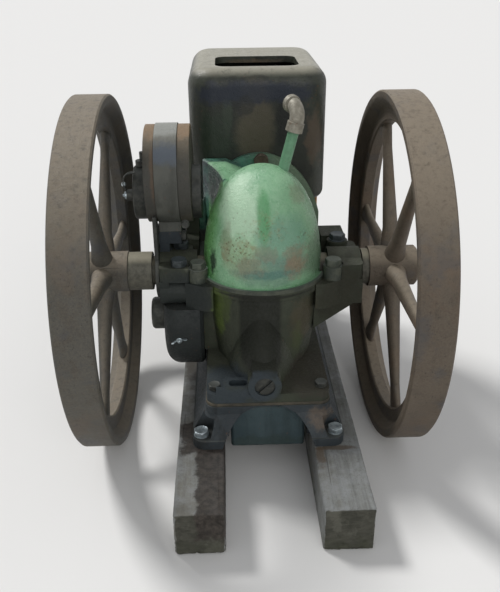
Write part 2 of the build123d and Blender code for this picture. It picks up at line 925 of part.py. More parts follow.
# Stepped terminal post on the end plate and contact on the cap
with BuildPart() as magneto_terminals:
    post_seat = magneto_axis_height + magneto_cap_radius
    with BuildSketch(level(post_seat)):
        with Locations((-terminal_x, magneto_y)):
            Circle(terminal_low_radius)
    extrude(amount=terminal_low_height)
    with BuildSketch(level(post_seat + terminal_low_height)):
        with Locations((-terminal_top_x, magneto_y)):
            Circle(terminal_top_radius)
    extrude(amount=terminal_top_height)
    with BuildSketch(side_plane(-magneto_left_reach - magneto_cap_length)):
        with Locations((contact_y, contact_height)):
            Circle(contact_radius)
    extrude(amount=-contact_length)
save(magneto_terminals, "magneto_terminals")

# Bracket that carries the magneto on the shelf
with BuildPart() as magneto_bracket:
    with BuildSketch(level(shelf_height)):
        with BuildLine():
            Polyline(
                (-bracket_left_reach, bracket_front_y),
                (-bracket_right_reach, bracket_front_y),
                (-bracket_right_reach, bracket_rear_y),
                (-bracket_left_reach, bracket_rear_y),
                close=True,
            )
        make_face()
    extrude(amount=bracket_plate)
    with BuildSketch(side_plane(-magneto_seat_left)):
        with Locations((magneto_y, (bracket_saddle_low + magneto_foot_height) / 2)):
            Rectangle(2 * bracket_saddle_half, magneto_foot_height - bracket_saddle_low)
        with Locations(((bracket_front_y + magneto_y + bracket_saddle_half) / 2, bracket_saddle_low)):
            Rectangle(magneto_y + bracket_saddle_half - bracket_front_y, 2 * bracket_plate)
    extrude(amount=magneto_seat_left - bracket_right_reach)
save(magneto_bracket, "magneto_bracket")

# Hopper and cylinder in one casting, open at the top
hopper_length = hopper_rear_y - hopper_front_y
hopper_middle = (hopper_rear_y + hopper_front_y) / 2
with BuildPart() as water_hopper:
    with BuildSketch(level(hopper_bottom)):
        with Locations((0, hopper_middle)):
            RectangleRounded(2 * hopper_half_width, hopper_length, hopper_edge)
    extrude(amount=hopper_top - hopper_bottom)
    hopper_caps = water_hopper.faces().filter_by(Axis.Z).sort_by(Axis.Z)
    fillet(hopper_caps[-1].edges(), hopper_top_edge)
    fillet(water_hopper.faces().filter_by(Axis.Z).sort_by(Axis.Z)[0].edges(), hopper_bottom_edge)
    with BuildSketch(front_plane(hopper_rear_y)):
        Circle(barrel_radius)
    extrude(amount=hopper_rear_y - case_rear_reach)
    with BuildSketch(front_plane(hopper_rear_y)):
        RectangleRounded(head_size, head_size, head_corner)
    extrude(amount=head_flange)
    with BuildSketch(level(bed_top)):
        with Locations((0, saddle_front_y + saddle_length / 2)):
            Rectangle(2 * saddle_half_width, saddle_length)
    extrude(amount=-bed_top)
    # Water space and its mouth
    with BuildSketch(level(hopper_floor)):
        with Locations((0, hopper_middle)):
            RectangleRounded(
                2 * (hopper_half_width - hopper_wall),
                hopper_length - 2 * hopper_wall,
                hopper_edge - hopper_wall,
            )
    extrude(amount=hopper_top - hopper_wall - hopper_floor, mode=Mode.SUBTRACT)
    with BuildSketch(level(hopper_top)):
        with Locations((0, mouth_front_y + mouth_length / 2)):
            RectangleRounded(mouth_width, mouth_length, mouth_corner)
    extrude(amount=-2 * hopper_wall, mode=Mode.SUBTRACT)
save(water_hopper, "water_hopper")

# Cylinder head at the back
with BuildPart() as cylinder_head:
    with BuildSketch(rear_plane(hopper_rear_y)):
        RectangleRounded(head_size, head_size, head_corner)
    extrude(amount=head_thickness)
    fillet(cylinder_head.faces().sort_by(Axis.Y)[-1].edges(), head_edge)
save(cylinder_head, "cylinder_head")
head_rear = hopper_rear_y + head_thickness
head_spots = [(sx * head_stud_spacing / 2, sz * head_stud_spacing / 2) for sx in (-1, 1) for sz in (-1, 1)]
head_hexes = hexes(rear_plane(head_rear), head_spots, bolt_large_flats, bolt_large_head)
with BuildPart() as head_nuts:
    add(head_hexes)
save(head_nuts, "head_nuts")

# Pushrod, rocker and bracket
with BuildPart() as pushrod:
    with BuildSketch(rear_plane(shelf_rear_y)):
        with Locations((pushrod_x, pushrod_height)):
            Circle(pushrod_diameter / 2)
    extrude(amount=rocker_y - rocker_height / 2 - shelf_rear_y)
save(pushrod, "pushrod")
with BuildPart() as rocker_arm:
    with BuildSketch(level(pushrod_height - rocker_thickness / 2)):
        with Locations((-(pushrod_x + valve_x) / 2, rocker_y)):
            SlotOverall(pushrod_x - valve_x + rocker_height, rocker_height)
    extrude(amount=rocker_thickness)
save(rocker_arm, "rocker_arm")
with BuildPart() as rocker_bracket:
    with BuildSketch(level(pushrod_height - rocker_thickness / 2)):
        with Locations((-rocker_pivot_x, (head_rear + rocker_y + rocker_height / 2) / 2)):
            Rectangle(rocker_height, rocker_y + rocker_height / 2 - head_rear)
    extrude(amount=-rocker_thickness)
save(rocker_bracket, "rocker_bracket")
valve_spots = [(-x, pushrod_height) for x in (-valve_x, intake_x)]
with BuildPart() as valve_stems:
    with BuildSketch(rear_plane(head_rear)):
        with Locations(*valve_spots):
            Circle(valve_stem_radius)
    extrude(amount=rocker_y - rocker_height / 2 - head_rear)
    with BuildSketch(rear_plane(head_rear + spring_length)):
        with Locations(*valve_spots):
            Circle(valve_cap_radius)
    extrude(amount=valve_cap_length)
save(valve_stems, "valve_stems")

# Springs round the stems
with BuildPart() as valve_springs:
    with BuildSketch(rear_plane(head_rear)):
        with Locations(*valve_spots):
            Circle(spring_radius + spring_wire / 2)
            Circle(spring_radius - spring_wire / 2, mode=Mode.SUBTRACT)
    extrude(amount=spring_length)
save(valve_springs, "valve_springs")

# Spark plug
with BuildPart() as spark_plug:
    with BuildSketch(rear_plane(head_rear)):
        with Locations((-plug_x, -plug_drop)):
            RegularPolygon(plug_hex / 2, 6, major_radius=False)
    extrude(amount=plug_hex / 2)
    with BuildSketch(rear_plane(head_rear + plug_hex / 2)):
        with Locations((-plug_x, -plug_drop)):
            Circle(plug_hex / 3)
    extrude(amount=plug_body_length)
save(spark_plug, "spark_plug")

# Mixer on the right side of the head: waisted body over a bowl, with a neck to the head
mixer_bottom = mixer_height - mixer_body_height / 2
mixer_top = mixer_bottom + mixer_body_height
with BuildPart() as mixer:
    with BuildSketch(front_plane(mixer_y)):
        with BuildLine():
            Polyline(
                (mixer_x, mixer_bottom),
                (mixer_x + mixer_bowl_radius, mixer_bottom),
                (mixer_x + mixer_bowl_radius, mixer_height - mixer_neck_radius - mixer_waist),
                (mixer_x + mixer_body_radius, mixer_height - mixer_neck_radius),
                (mixer_x + mixer_body_radius, mixer_top - mixer_waist),
                (mixer_x + mixer_bowl_radius, mixer_top),
                (mixer_x, mixer_top),
                close=True,
            )
        make_face()
    revolve(axis=Axis(at(mixer_x, mixer_y, 0), (0, 0, 1)), revolution_arc=full_turn)
    with BuildSketch(side_plane(head_size / 2)):
        with Locations((mixer_y, mixer_height)):
            Circle(mixer_neck_radius)
    extrude(amount=mixer_x - head_size / 2)
save(mixer, "mixer")
line_top = at(mixer_x, mixer_y, mixer_bottom)
with BuildPart() as fuel_line:
    with BuildLine():
        FilletPolyline(
            line_top,
            at(mixer_x, mixer_y, -line_drop),
            at(line_x, mixer_y, -line_drop),
            at(line_x, mixer_y, line_run),
            at(line_x, tank_rear_reach, line_run),
            radius=line_bend,
        )
    with BuildSketch(Plane(origin=line_top, z_dir=(0, 0, -1))):
        Circle(line_radius)
    sweep()
save(fuel_line, "fuel_line")

# Exhaust stub on top of the head
with BuildPart() as exhaust_stub:
    with BuildSketch(level(head_size / 2)):
        with Locations((-valve_x, hopper_rear_y + head_thickness / 2)):
            Circle(exhaust_collar_radius)
    extrude(amount=exhaust_collar_height)
    with BuildSketch(level(head_size / 2)):
        with Locations((-valve_x, hopper_rear_y + head_thickness / 2)):
            Circle(exhaust_radius)
    extrude(amount=exhaust_top - head_size / 2)
    with BuildSketch(level(head_size / 2 + exhaust_collar_height)):
        with Locations((-valve_x, hopper_rear_y + head_thickness / 2)):
            Circle(exhaust_bore)
    extrude(amount=exhaust_top, mode=Mode.SUBTRACT)
save(exhaust_stub, "exhaust_stub")

# Crankshaft
with BuildPart() as crankshaft:
    with BuildSketch(side_plane(-hub_reach_left)):
        Circle(shaft_radius)
    extrude(amount=hub_reach_left + hub_reach_right)
    for end in (-1, 1):
        reach = hub_reach_left if end < 0 else hub_reach_right
        with BuildSketch(side_plane(end * reach)):
            with Locations((0, shaft_radius)):
                Rectangle(key_width, key_height)
        extrude(amount=-end * key_length, mode=Mode.SUBTRACT)
save(crankshaft, "crankshaft")

# Keys in the hubs
with BuildPart() as hub_keys:
    for end in (-1, 1):
        reach = hub_reach_left if end < 0 else hub_reach_right
        with BuildSketch(side_plane(end * reach)):
            with Locations((0, shaft_radius)):
                Rectangle(key_width, key_height)
        extrude(amount=-end * key_length)
save(hub_keys, "hub_keys")

# Sleeve on the shaft beside the left wheel and narrow collar beside the right one
with BuildPart() as shaft_sleeve:
    with BuildSketch(side_plane(hub_length_left - hub_reach_left)):
        Circle(sleeve_diameter / 2)
        Circle(shaft_radius + hub_clearance, mode=Mode.SUBTRACT)
    extrude(amount=hub_reach_left - hub_length_left - sleeve_reach)
    with BuildSketch(side_plane(collar_reach)):
        Circle(collar_radius)
        Circle(shaft_radius + hub_clearance, mode=Mode.SUBTRACT)
    extrude(amount=hub_reach_right - hub_length_right - collar_reach)
save(shaft_sleeve, "shaft_sleeve")

# Flywheels: stepped rim, six flared oval spokes and a hub
rim_radius = wheel_diameter / 2
rim_inner = rim_radius - rim_edge
rim_low = rim_radius - rim_root
rib_inner = rim_radius - rim_rib_depth
wheel_face = Plane(origin=at(0, 0, 0), x_dir=(1, 0, 0), z_dir=(0, -1, 0))
for label, side, centre, reach, hub_length, first_spoke in (
    ("flywheel_left", -1, -wheel_centre_left, hub_reach_left, hub_length_left, first_spoke_left),
    ("flywheel_right", 1, wheel_centre_right, hub_reach_right, hub_length_right, first_spoke_right),
):
    hub_outer = side * reach
    hub_inner = side * (reach - hub_length)
    with BuildPart() as flywheel:
        with BuildSketch(wheel_face) as rim_section:
            with Locations((centre, 0)):
                with BuildLine():
                    Polyline(
                        (centre - rim_width / 2, rim_inner),
                        (centre - rim_width / 2, rim_radius),
                        (centre + rim_width / 2, rim_radius),
                        (centre + rim_width / 2, rim_inner),
                        (centre + rim_rib_width / 2, rim_low),
                        (centre + rim_rib_width / 2, rib_inner),
                        (centre - rim_rib_width / 2, rib_inner),
                        (centre - rim_rib_width / 2, rim_low),
                        close=True,
                    )
            make_face()
            chamfer(rim_section.vertices().group_by(Axis.Z)[-1], rim_edge_cut)
        revolve(axis=crank_axis, revolution_arc=full_turn)
        for number in range(spoke_count):
            turn = math.radians(first_spoke + number * full_turn / spoke_count)
            outward = Vector(0, math.sin(turn), math.cos(turn))
            middle = at(centre, 0, 0)
            for radius, width, depth in (
                (spoke_root_radius, spoke_root_width, spoke_root_depth),
                (spoke_low_radius, spoke_low_width, spoke_low_depth),
                (spoke_high_radius, spoke_high_width, spoke_high_depth),
                (rib_inner + spoke_sink, spoke_tip_width, spoke_tip_depth),
            ):
                with BuildSketch(Plane(origin=middle + outward * radius, x_dir=(1, 0, 0), z_dir=outward)):
                    Ellipse(depth / 2, width / 2)
            loft(ruled=True)
        with BuildSketch(side_plane(hub_inner)):
            Circle(hub_diameter / 2)
        extrude(amount=hub_outer - hub_inner)
        hub_ends = flywheel.faces().filter_by(GeomType.PLANE).filter_by(Axis.X)
        chamfer(hub_ends.sort_by(Axis.X)[0 if side < 0 else -1].edges(), hub_edge)
        with BuildSketch(side_plane(hub_inner)):
            Circle(shaft_radius + hub_clearance)
        extrude(amount=hub_outer - hub_inner, mode=Mode.SUBTRACT)
        with BuildSketch(side_plane(hub_outer)):
            with Locations((0, shaft_radius)):
                Rectangle(key_width, key_height)
        extrude(amount=-side * key_length, mode=Mode.SUBTRACT)
    save(flywheel, label)
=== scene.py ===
import json
import math

import bmesh
import bpy
from mathutils import Matrix, Vector, noise


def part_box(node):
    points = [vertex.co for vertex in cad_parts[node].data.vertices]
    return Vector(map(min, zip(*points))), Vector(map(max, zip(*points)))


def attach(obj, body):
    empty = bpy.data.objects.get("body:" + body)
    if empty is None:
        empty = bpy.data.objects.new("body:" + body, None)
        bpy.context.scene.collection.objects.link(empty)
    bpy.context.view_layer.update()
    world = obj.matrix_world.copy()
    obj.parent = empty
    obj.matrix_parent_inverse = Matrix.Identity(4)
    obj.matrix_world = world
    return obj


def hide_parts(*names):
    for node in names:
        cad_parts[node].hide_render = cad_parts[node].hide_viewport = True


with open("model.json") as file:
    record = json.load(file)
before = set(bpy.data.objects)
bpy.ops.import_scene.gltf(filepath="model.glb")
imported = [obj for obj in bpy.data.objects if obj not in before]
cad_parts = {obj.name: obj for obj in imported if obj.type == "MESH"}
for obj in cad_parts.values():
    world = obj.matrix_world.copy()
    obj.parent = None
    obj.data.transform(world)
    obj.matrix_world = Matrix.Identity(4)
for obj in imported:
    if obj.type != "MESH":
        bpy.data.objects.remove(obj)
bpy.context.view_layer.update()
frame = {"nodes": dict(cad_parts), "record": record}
nodes = frame["nodes"]

# Camera worked out from the photograph, in metres and degrees, with its lens in millimetres
camera_place = Vector((-0.0251, -0.97186, 0.62984))
camera_yaw = 1.8
camera_pitch = 26.23
camera_roll = -0.56
focal_length = 44.16
sensor_width = 36

# Middle of the crank line
crank_place = Vector((0.01975, -0.0805, 0.232))
mm = 0.001


def at_crank(x, y, z):
    """A place given in millimetres from the middle of the crank line."""
    return crank_place + Vector((x, y, z)) * mm


def at_mm(x, y, z):
    """A place given in millimetres."""
    return Vector((x * mm, y * mm, z * mm))


def srgb(red, green, blue):
    """A colour from screen values 0 to 255."""
    out = []
    for value in (red, green, blue):
        share = value / 255
        out.append(share / 12.92 if share <= 0.04045 else ((share + 0.055) / 1.055) ** 2.4)
    return (*out, 1)


def darker(colour, share):
    return (*(value * share for value in colour[:3]), 1)


def fill(tree, node, inputs):
    """Links or sets inputs of a node, each given by its name or number."""
    for key, value in inputs.items():
        if isinstance(value, bpy.types.NodeSocket):
            tree.links.new(value, node.inputs[key])
        else:
            node.inputs[key].default_value = value


class Coat:
    """A procedural material, built from noise, cells and masks in the part's own coordinates, in metres."""

    def __init__(self, name):
        self.material = bpy.data.materials.new(name)
        self.material.use_nodes = True
        self.tree = self.material.node_tree
        coords = self.tree.nodes.new("ShaderNodeTexCoord")
        self.place = coords.outputs["Object"]
        self.facing = self.parts_of(coords.outputs["Normal"])
        self.at = self.parts_of(self.place)

    def add(self, kind, inputs):
        node = self.tree.nodes.new(kind)
        fill(self.tree, node, inputs)
        return node

    def parts_of(self, vector):
        return dict(zip("xyz", self.add("ShaderNodeSeparateXYZ", {0: vector}).outputs))

    def moved(self, stretch, shift):
        """The part's coordinates, stretched, and shifted so that no two noises look alike."""
        shifts = [shift * ratio for ratio in (1, 0.7, 1.3)]
        inputs = {"Vector": self.place, "Scale": stretch, "Location": shifts}
        return self.add("ShaderNodeMapping", inputs).outputs[0]

    def noise(self, scale, detail=5, rough=0.6, stretch=(1, 1, 1), shift=0.0):
        place = self.moved(stretch, shift)
        inputs = {"Vector": place, "Scale": scale, "Detail": detail, "Roughness": rough}
        return self.add("ShaderNodeTexNoise", inputs).outputs["Fac"]

    def between(self, value, low, high, to_low=0.0, to_high=1.0):
        """A smooth step of a value, from 0 at the low limit to 1 at the high one unless told otherwise.
        The low limit may be the larger one."""
        inputs = {"Value": value, "From Min": low, "From Max": high, "To Min": to_low, "To Max": to_high}
        node = self.add("ShaderNodeMapRange", inputs)
        node.interpolation_type = "SMOOTHSTEP"
        return node.outputs["Result"]

    def cloud(self, low, high, **how):
        """A mask of clouds: noise, stepped between two limits."""
        return self.between(self.noise(**how), low, high)

    def spots(self, outer, inner, scale, shift):
        """A mask of round spots, from nothing at the outer limit to full at the inner one."""
        inputs = {"Vector": self.moved((1, 1, 1), shift), "Scale": scale}
        return self.between(self.add("ShaderNodeTexVoronoi", inputs).outputs["Distance"], outer, inner)

    def across(self, axis, low, high):
        """A mask that rises along an axis between two places, in millimetres from the crank line."""
        middle = crank_place["xyz".index(axis)]
        return self.between(self.at[axis], middle + low * mm, middle + high * mm)

    def facing_up(self, low, high):
        return self.between(self.facing["z"], low, high)

    def calc(self, kind, a, b):
        node = self.add("ShaderNodeMath", {0: a, 1: b})
        node.operation = kind
        return node.outputs[0]

    def both(self, a, b):
        return self.calc("MULTIPLY", a, b)

    def without(self, a):
        return self.calc("SUBTRACT", 1.0, a)

    def vector_calc(self, kind, inputs):
        node = self.add("ShaderNodeVectorMath", inputs)
        node.operation = kind
        return node.outputs

    def away_from(self, centre, size, square=False):
        """Distance from a place in millimetres from the crank line, as a share of a size in millimetres.
        With square, the coordinates are raised to the fourth power first, which squares off the corners."""
        reach = [value * mm for value in size]
        middle = [-place / value for place, value in zip(at_crank(*centre), reach)]
        inputs = {"Vector": self.place, "Scale": [1 / value for value in reach], "Location": middle}
        vector = self.add("ShaderNodeMapping", inputs).outputs[0]
        for _ in range(2 if square else 0):
            vector = self.vector_calc("MULTIPLY", {0: vector, 1: vector})[0]
        length = self.vector_calc("LENGTH", {0: vector})["Value"]
        return self.calc("POWER", length, 0.25) if square else length

    def patch(self, centre, size, ragged, scale, shift, square=False):
        """A ragged patch round a place, oval or squarish."""
        wobble = self.calc("SUBTRACT", self.noise(scale, 6, 0.65, shift=shift), 0.5)
        away = self.calc("ADD", self.away_from(centre, size, square), self.both(wobble, 3 * ragged))
        outer, inner = (1.1, 0.85) if square else (1.2, 0.6)
        return self.between(away, outer, inner)

    def mix(self, share, a, b):
        node = self.tree.nodes.new("ShaderNodeMix")
        node.data_type = "RGBA"
        fill(self.tree, node, {0: share, 6: a, 7: b})
        return node.outputs[2]

    def over(self, tone, mask, share, colour):
        """A tone with a share of another colour over it where the mask is."""
        return self.mix(self.both(mask, share), tone, colour)

    def patched(self, tone, patches):
        """A tone with patches over it. Each row holds a colour, a share and what patch() takes."""
        for colour, share, *where in patches:
            tone = self.over(tone, self.patch(*where), share, colour)
        return tone

    def bump(self, height, distance, strength, under=None):
        inputs = {"Strength": strength, "Distance": distance, "Height": height}
        if under is not None:
            inputs["Normal"] = under
        return self.add("ShaderNodeBump", inputs).outputs[0]

    def finish(self, colour, rough, normal, metal=0.0, gloss=0.5):
        inputs = {"Base Color": colour, "Specular IOR Level": gloss, "Roughness": rough, "Metallic": metal}
        fill(self.tree, self.tree.nodes["Principled BSDF"], {**inputs, "Normal": normal})
        return self.material


def old_iron(name, tones, rust_share, dust, dust_share, rough=(0.5, 0.75), patches=(), rust=(112, 76, 50)):
    """Cast iron with soft tone changes, running stains, a little rust, sand-cast grain and dust on top.
    The tones are the dark one, the light one and the stain."""
    coat = Coat(name)
    dark, light, stain, rust, dust = (srgb(*colour) for colour in (*tones, rust, dust))
    tone = coat.mix(coat.cloud(0.36, 0.64, scale=22), dark, light)
    grainy = coat.cloud(0.3, 0.7, scale=330, detail=4, rough=0.7, shift=1.7)
    tone = coat.over(tone, grainy, 0.35, darker(light, 1.25))
    running = coat.cloud(0.53, 0.68, scale=46, detail=4, rough=0.55, stretch=(1, 1, 0.14), shift=3.1)
    tone = coat.over(tone, running, 0.7, stain)
    rust_tone = coat.mix(grainy, rust, darker(rust, 0.5))
    flow = coat.noise(scale=34, detail=7, rough=0.7, shift=5.3)
    edge = 0.78 - 0.3 * rust_share
    tone = coat.over(tone, coat.between(flow, edge, edge + 0.12), 0.8, rust_tone)
    flecks = coat.cloud(0.66, 0.74, scale=260, detail=3, rough=0.5, shift=9.4)
    tone = coat.over(tone, flecks, 0.5, rust_tone)
    settled = coat.cloud(0.12, 0.52, scale=110, detail=6, rough=0.7, shift=2.2)
    tone = coat.over(tone, coat.both(coat.facing_up(0.5, 0.98), settled), dust_share, dust)
    tone = coat.patched(tone, patches)
    pitted = coat.cloud(0.42, 0.6, scale=40, detail=4, shift=7.7)
    pits = coat.both(coat.spots(0.22, 0.06, scale=240, shift=4.4), pitted)
    tone = coat.over(tone, pits, 0.6, darker(dark, 0.45))
    skin = coat.bump(coat.noise(scale=520, rough=0.75), 0.5 * mm, 0.8)
    skin = coat.bump(coat.noise(scale=85, detail=4, shift=6.1), 1.2 * mm, 0.5, skin)
    skin = coat.bump(coat.without(pits), 0.5 * mm, 0.7, skin)
    uneven = coat.calc("ADD", coat.both(flow, 0.6), coat.both(grainy, 0.4))
    return coat.finish(tone, coat.between(uneven, 0.3, 0.7, *rough), skin, gloss=0.28)


def wheel_iron():
    """Brown-grey rust film with fine speckle, small pits and dust, greyer on the left wheel and browner on
    the right one."""
    coat = Coat("rusty_wheel_iron")
    uneven = coat.cloud(0.36, 0.64, scale=12, detail=4, rough=0.55)
    tone = coat.mix(uneven, srgb(62, 60, 54), srgb(80, 77, 69))
    warm = coat.cloud(0.5, 0.66, scale=19, shift=3.7)
    tone = coat.over(tone, warm, 0.5, srgb(92, 74, 57))
    on_right = coat.between(coat.at["x"], -50 * mm, 50 * mm)
    tone = coat.over(tone, on_right, 0.4, srgb(94, 74, 58))
    tone = coat.over(tone, coat.without(on_right), 0.35, srgb(64, 66, 66))
    mottled = coat.cloud(0.48, 0.62, scale=62, detail=6, rough=0.68, shift=4.7)
    tone = coat.over(tone, mottled, 0.45, srgb(64, 56, 47))
    speckle = coat.cloud(0.3, 0.7, scale=460, detail=4, rough=0.72, shift=1.1)
    tone = coat.over(tone, speckle, 0.38, srgb(112, 106, 94))
    cool = coat.cloud(0.52, 0.68, scale=24, detail=4, shift=7.1)
    tone = coat.over(tone, cool, 0.5, srgb(66, 68, 72))
    dark_spots = coat.cloud(0.6, 0.72, scale=210, detail=4, shift=8.2)
    tone = coat.over(tone, dark_spots, 0.6, srgb(54, 49, 44))
    pitted = coat.cloud(0.42, 0.58, scale=60, detail=4, shift=5.9)
    pits = coat.both(coat.spots(0.24, 0.08, scale=300, shift=2.9), pitted)
    tone = coat.over(tone, pits, 0.7, srgb(50, 43, 38))
    settled = coat.cloud(0.12, 0.55, scale=150, rough=0.65, shift=2.2)
    tone = coat.over(tone, coat.both(coat.facing_up(0.2, 0.9), settled), 0.55, srgb(154, 142, 124))
    skin = coat.bump(coat.noise(scale=420, rough=0.75), 0.8 * mm, 0.9)
    skin = coat.bump(coat.noise(scale=130, detail=4, shift=6.4), 1.2 * mm, 0.6, skin)
    skin = coat.bump(coat.without(pits), 0.5 * mm, 0.8, skin)
    return coat.finish(tone, coat.between(speckle, 0.0, 1.0, 0.5, 0.72), skin, gloss=0.25)


def worn_steel(name, tones, rust, rust_share, metal, rough, top=None):
    """Turned or forged steel with a dull sheen, scratches, rust that creeps in and paler tops, painted
    light on the upward faces where a top colour is given.
    The tones are the dark one and the light one."""
    coat = Coat(name)
    dark, light, rust = (srgb(*colour) for colour in (*tones, rust))
    tone = coat.mix(coat.cloud(0.35, 0.65, scale=150), dark, light)
    fine = coat.cloud(0.35, 0.65, scale=520, detail=4, rough=0.7, shift=1.1)
    edge = 0.76 - 0.36 * rust_share
    rusty = coat.cloud(edge, edge + 0.12, scale=80, detail=7, rough=0.72, shift=3.9)
    tone = coat.over(tone, rusty, 0.85, coat.mix(fine, rust, darker(rust, 0.5)))
    # Painted light: upward faces are paler, as if lit from above
    if top is not None:
        tone = coat.over(tone, coat.facing_up(0.6, 0.95), 0.6, srgb(*top))
    scratches = coat.noise(scale=300, detail=3, stretch=(6, 1, 1), shift=8.8)
    skin = coat.bump(coat.noise(scale=800, detail=4, rough=0.7), 0.2 * mm, 0.7)
    skin = coat.bump(scratches, 0.15 * mm, 0.5, skin)
    skin = coat.bump(rusty, 0.2 * mm, 0.6, skin)
    roughness = coat.calc("ADD", coat.between(scratches, 0.35, 0.65, *rough), coat.both(rusty, 0.2))
    return coat.finish(tone, roughness, skin, coat.both(coat.without(rusty), metal), gloss=0.35)


def old_paint():
    """Light green paint gone chalky, with a darker run, brown patches and rusty pits, and painted light and
    shade: a painted highlight on the upper left, painted shade on the right side, teal patches low on the
    front that are partly painted shade, teal painted shade on the left horn and the rear arch, and painted
    sunlight on the left of the ring.
    """
    coat = Coat("light_green_paint")
    uneven = coat.cloud(0.35, 0.65, scale=15, detail=4, rough=0.55)
    tone = coat.mix(uneven, srgb(108, 158, 118), srgb(138, 186, 144))
    chalk = coat.cloud(0.32, 0.68, scale=230, rough=0.72, shift=1.2)
    tone = coat.over(tone, chalk, 0.35, srgb(168, 202, 170))
    # Painted shade: the right side of the dome is darker, as it lies away from the light
    tone = coat.over(tone, coat.across("x", 2, 66), 0.7, srgb(98, 132, 100))
    fade = coat.cloud(0.45, 0.7, scale=30, stretch=(1, 1, 0.3), shift=2.6)
    tone = coat.over(tone, fade, 0.4, srgb(92, 146, 104))
    lit_left = coat.between(coat.facing["x"], -0.7, -0.97)
    tone = coat.over(tone, lit_left, 0.75, srgb(104, 168, 84))

    brown = coat.mix(coat.cloud(0.3, 0.7, scale=260, rough=0.7), srgb(132, 118, 96), srgb(98, 92, 76))
    wear_and_painted_light = (
        # Painted highlight: paler chalky paint on the upper left, where the light falls
        (srgb(196, 222, 194), 0.6, (-30, -44, 100), (30, 44, 44), 0.5, 40, 0.8),
        # These three rows are teal paint, partly painted shade low on the front of the dome
        (srgb(84, 126, 112), 0.55, (22, -70, 60), (40, 40, 40), 0.35, 45, 1.3),
        (srgb(84, 108, 98), 0.6, (6, -82, 30), (60, 34, 24), 0.35, 55, 2.9),
        (srgb(58, 104, 96), 0.65, (-4, -84, 24), (56, 30, 7), 0.4, 70, 1.9),
        (srgb(150, 158, 126), 0.4, (-34, -72, 44), (30, 26, 26), 0.6, 60, 4.4),
        (srgb(118, 104, 80), 0.4, (-48, -58, 62), (7, 22, 34), 0.6, 60, 2.7),
        (srgb(70, 140, 84), 0.75, (-1, -64, 100), (9, 30, 44), 0.2, 60, 0.3),
        (srgb(80, 92, 76), 0.6, (64, -20, 34), (24, 60, 30), 0.5, 50, 4.9),
        (brown, 0.6, (40, -68, 38), (20, 26, 22), 0.8, 70, 6.1),
        (srgb(128, 92, 62), 0.35, (38, -68, 34), (11, 26, 13), 1.2, 120, 5.1),
        (brown, 0.45, (-21, -76, 34), (19, 18, 12), 0.9, 80, 7.3),
        (brown, 0.4, (3, -74, 52), (13, 14, 14), 1.0, 90, 8.7),
        (brown, 0.35, (44, -30, 114), (13, 24, 14), 0.9, 80, 9.4),
        (srgb(36, 52, 40), 0.9, (-66, -44, 30), (6, 12, 17), 0.7, 90, 3.7),
    )
    tone = coat.patched(tone, wear_and_painted_light)

    left_scar = coat.patch((-38, -70, 54), (30, 24, 20), 0.8, 60, 2.2)
    middle_scar = coat.patch((4, -70, 84), (24, 24, 22), 1.0, 60, 5.2)
    scars = coat.calc("MAXIMUM", left_scar, coat.both(middle_scar, 0.6))
    scarred = coat.both(scars, coat.cloud(0.46, 0.66, scale=150, rough=0.7, shift=4.6))
    tone = coat.over(tone, scarred, 0.6, srgb(134, 128, 92))
    also_pitted = coat.cloud(0.6, 0.7, scale=28, detail=4, rough=0.55, shift=6.6)
    pits = coat.both(coat.spots(0.34, 0.16, scale=230, shift=1.9), coat.calc("MAXIMUM", scars, also_pitted))
    tone = coat.over(tone, pits, 0.55, srgb(104, 86, 58))

    # Painted shade: the front wall of the left horn and the rear arch are dark teal, as they lie in shade
    shade_teal = coat.mix(coat.cloud(0.4, 0.62, scale=60, shift=3.8), srgb(24, 54, 62), srgb(44, 100, 90))
    horn_shade = coat.both(coat.across("x", -36, -42), coat.facing_up(0.7, 0.5))
    horn_shade = coat.both(horn_shade, coat.across("z", 50, 85))
    horn_shade = coat.both(horn_shade, coat.between(coat.away_from((0, 0, 18), (82, 82, 122)), 1.03, 1.06))
    tone = coat.over(tone, horn_shade, 0.9, shade_teal)
    arch_shade = coat.mix(coat.across("x", -20, 30), shade_teal, srgb(88, 98, 82))
    tone = coat.over(tone, coat.across("y", 72, 78), 0.8, arch_shade)

    # The ring round the foot of the dome is bare and paler where it faces up, with painted sunlight where
    # it lies flat on the left
    endless = 100000
    outside_dome = coat.between(coat.away_from((0, 0, 0), (80.5, 80.5, endless)), 1.0, 1.012)
    ring = coat.both(outside_dome, coat.across("z", 27, 21))
    bare = coat.mix(coat.cloud(0.4, 0.62, scale=90, rough=0.65), srgb(48, 54, 46), srgb(68, 72, 60))
    bare = coat.over(bare, coat.facing_up(0.5, 0.9), 0.6, srgb(88, 94, 88))
    painted_sun_left = coat.both(coat.across("x", -10, -45), coat.facing_up(0.4, 0.9))
    bare = coat.over(bare, painted_sun_left, 0.55, srgb(142, 146, 138))
    tone = coat.mix(ring, tone, bare)

    skin = coat.bump(coat.noise(scale=320, rough=0.7), 1.3 * mm, 0.9)
    skin = coat.bump(coat.noise(scale=60, detail=3, rough=0.5, shift=3.3), 1.6 * mm, 0.5, skin)
    skin = coat.bump(coat.without(pits), 0.6 * mm, 0.9, skin)
    sheen = coat.between(coat.noise(scale=90, rough=0.65, shift=5.5), 0.35, 0.65, 0.24, 0.42)
    return coat.finish(tone, coat.calc("ADD", sheen, coat.both(ring, 0.2)), skin)


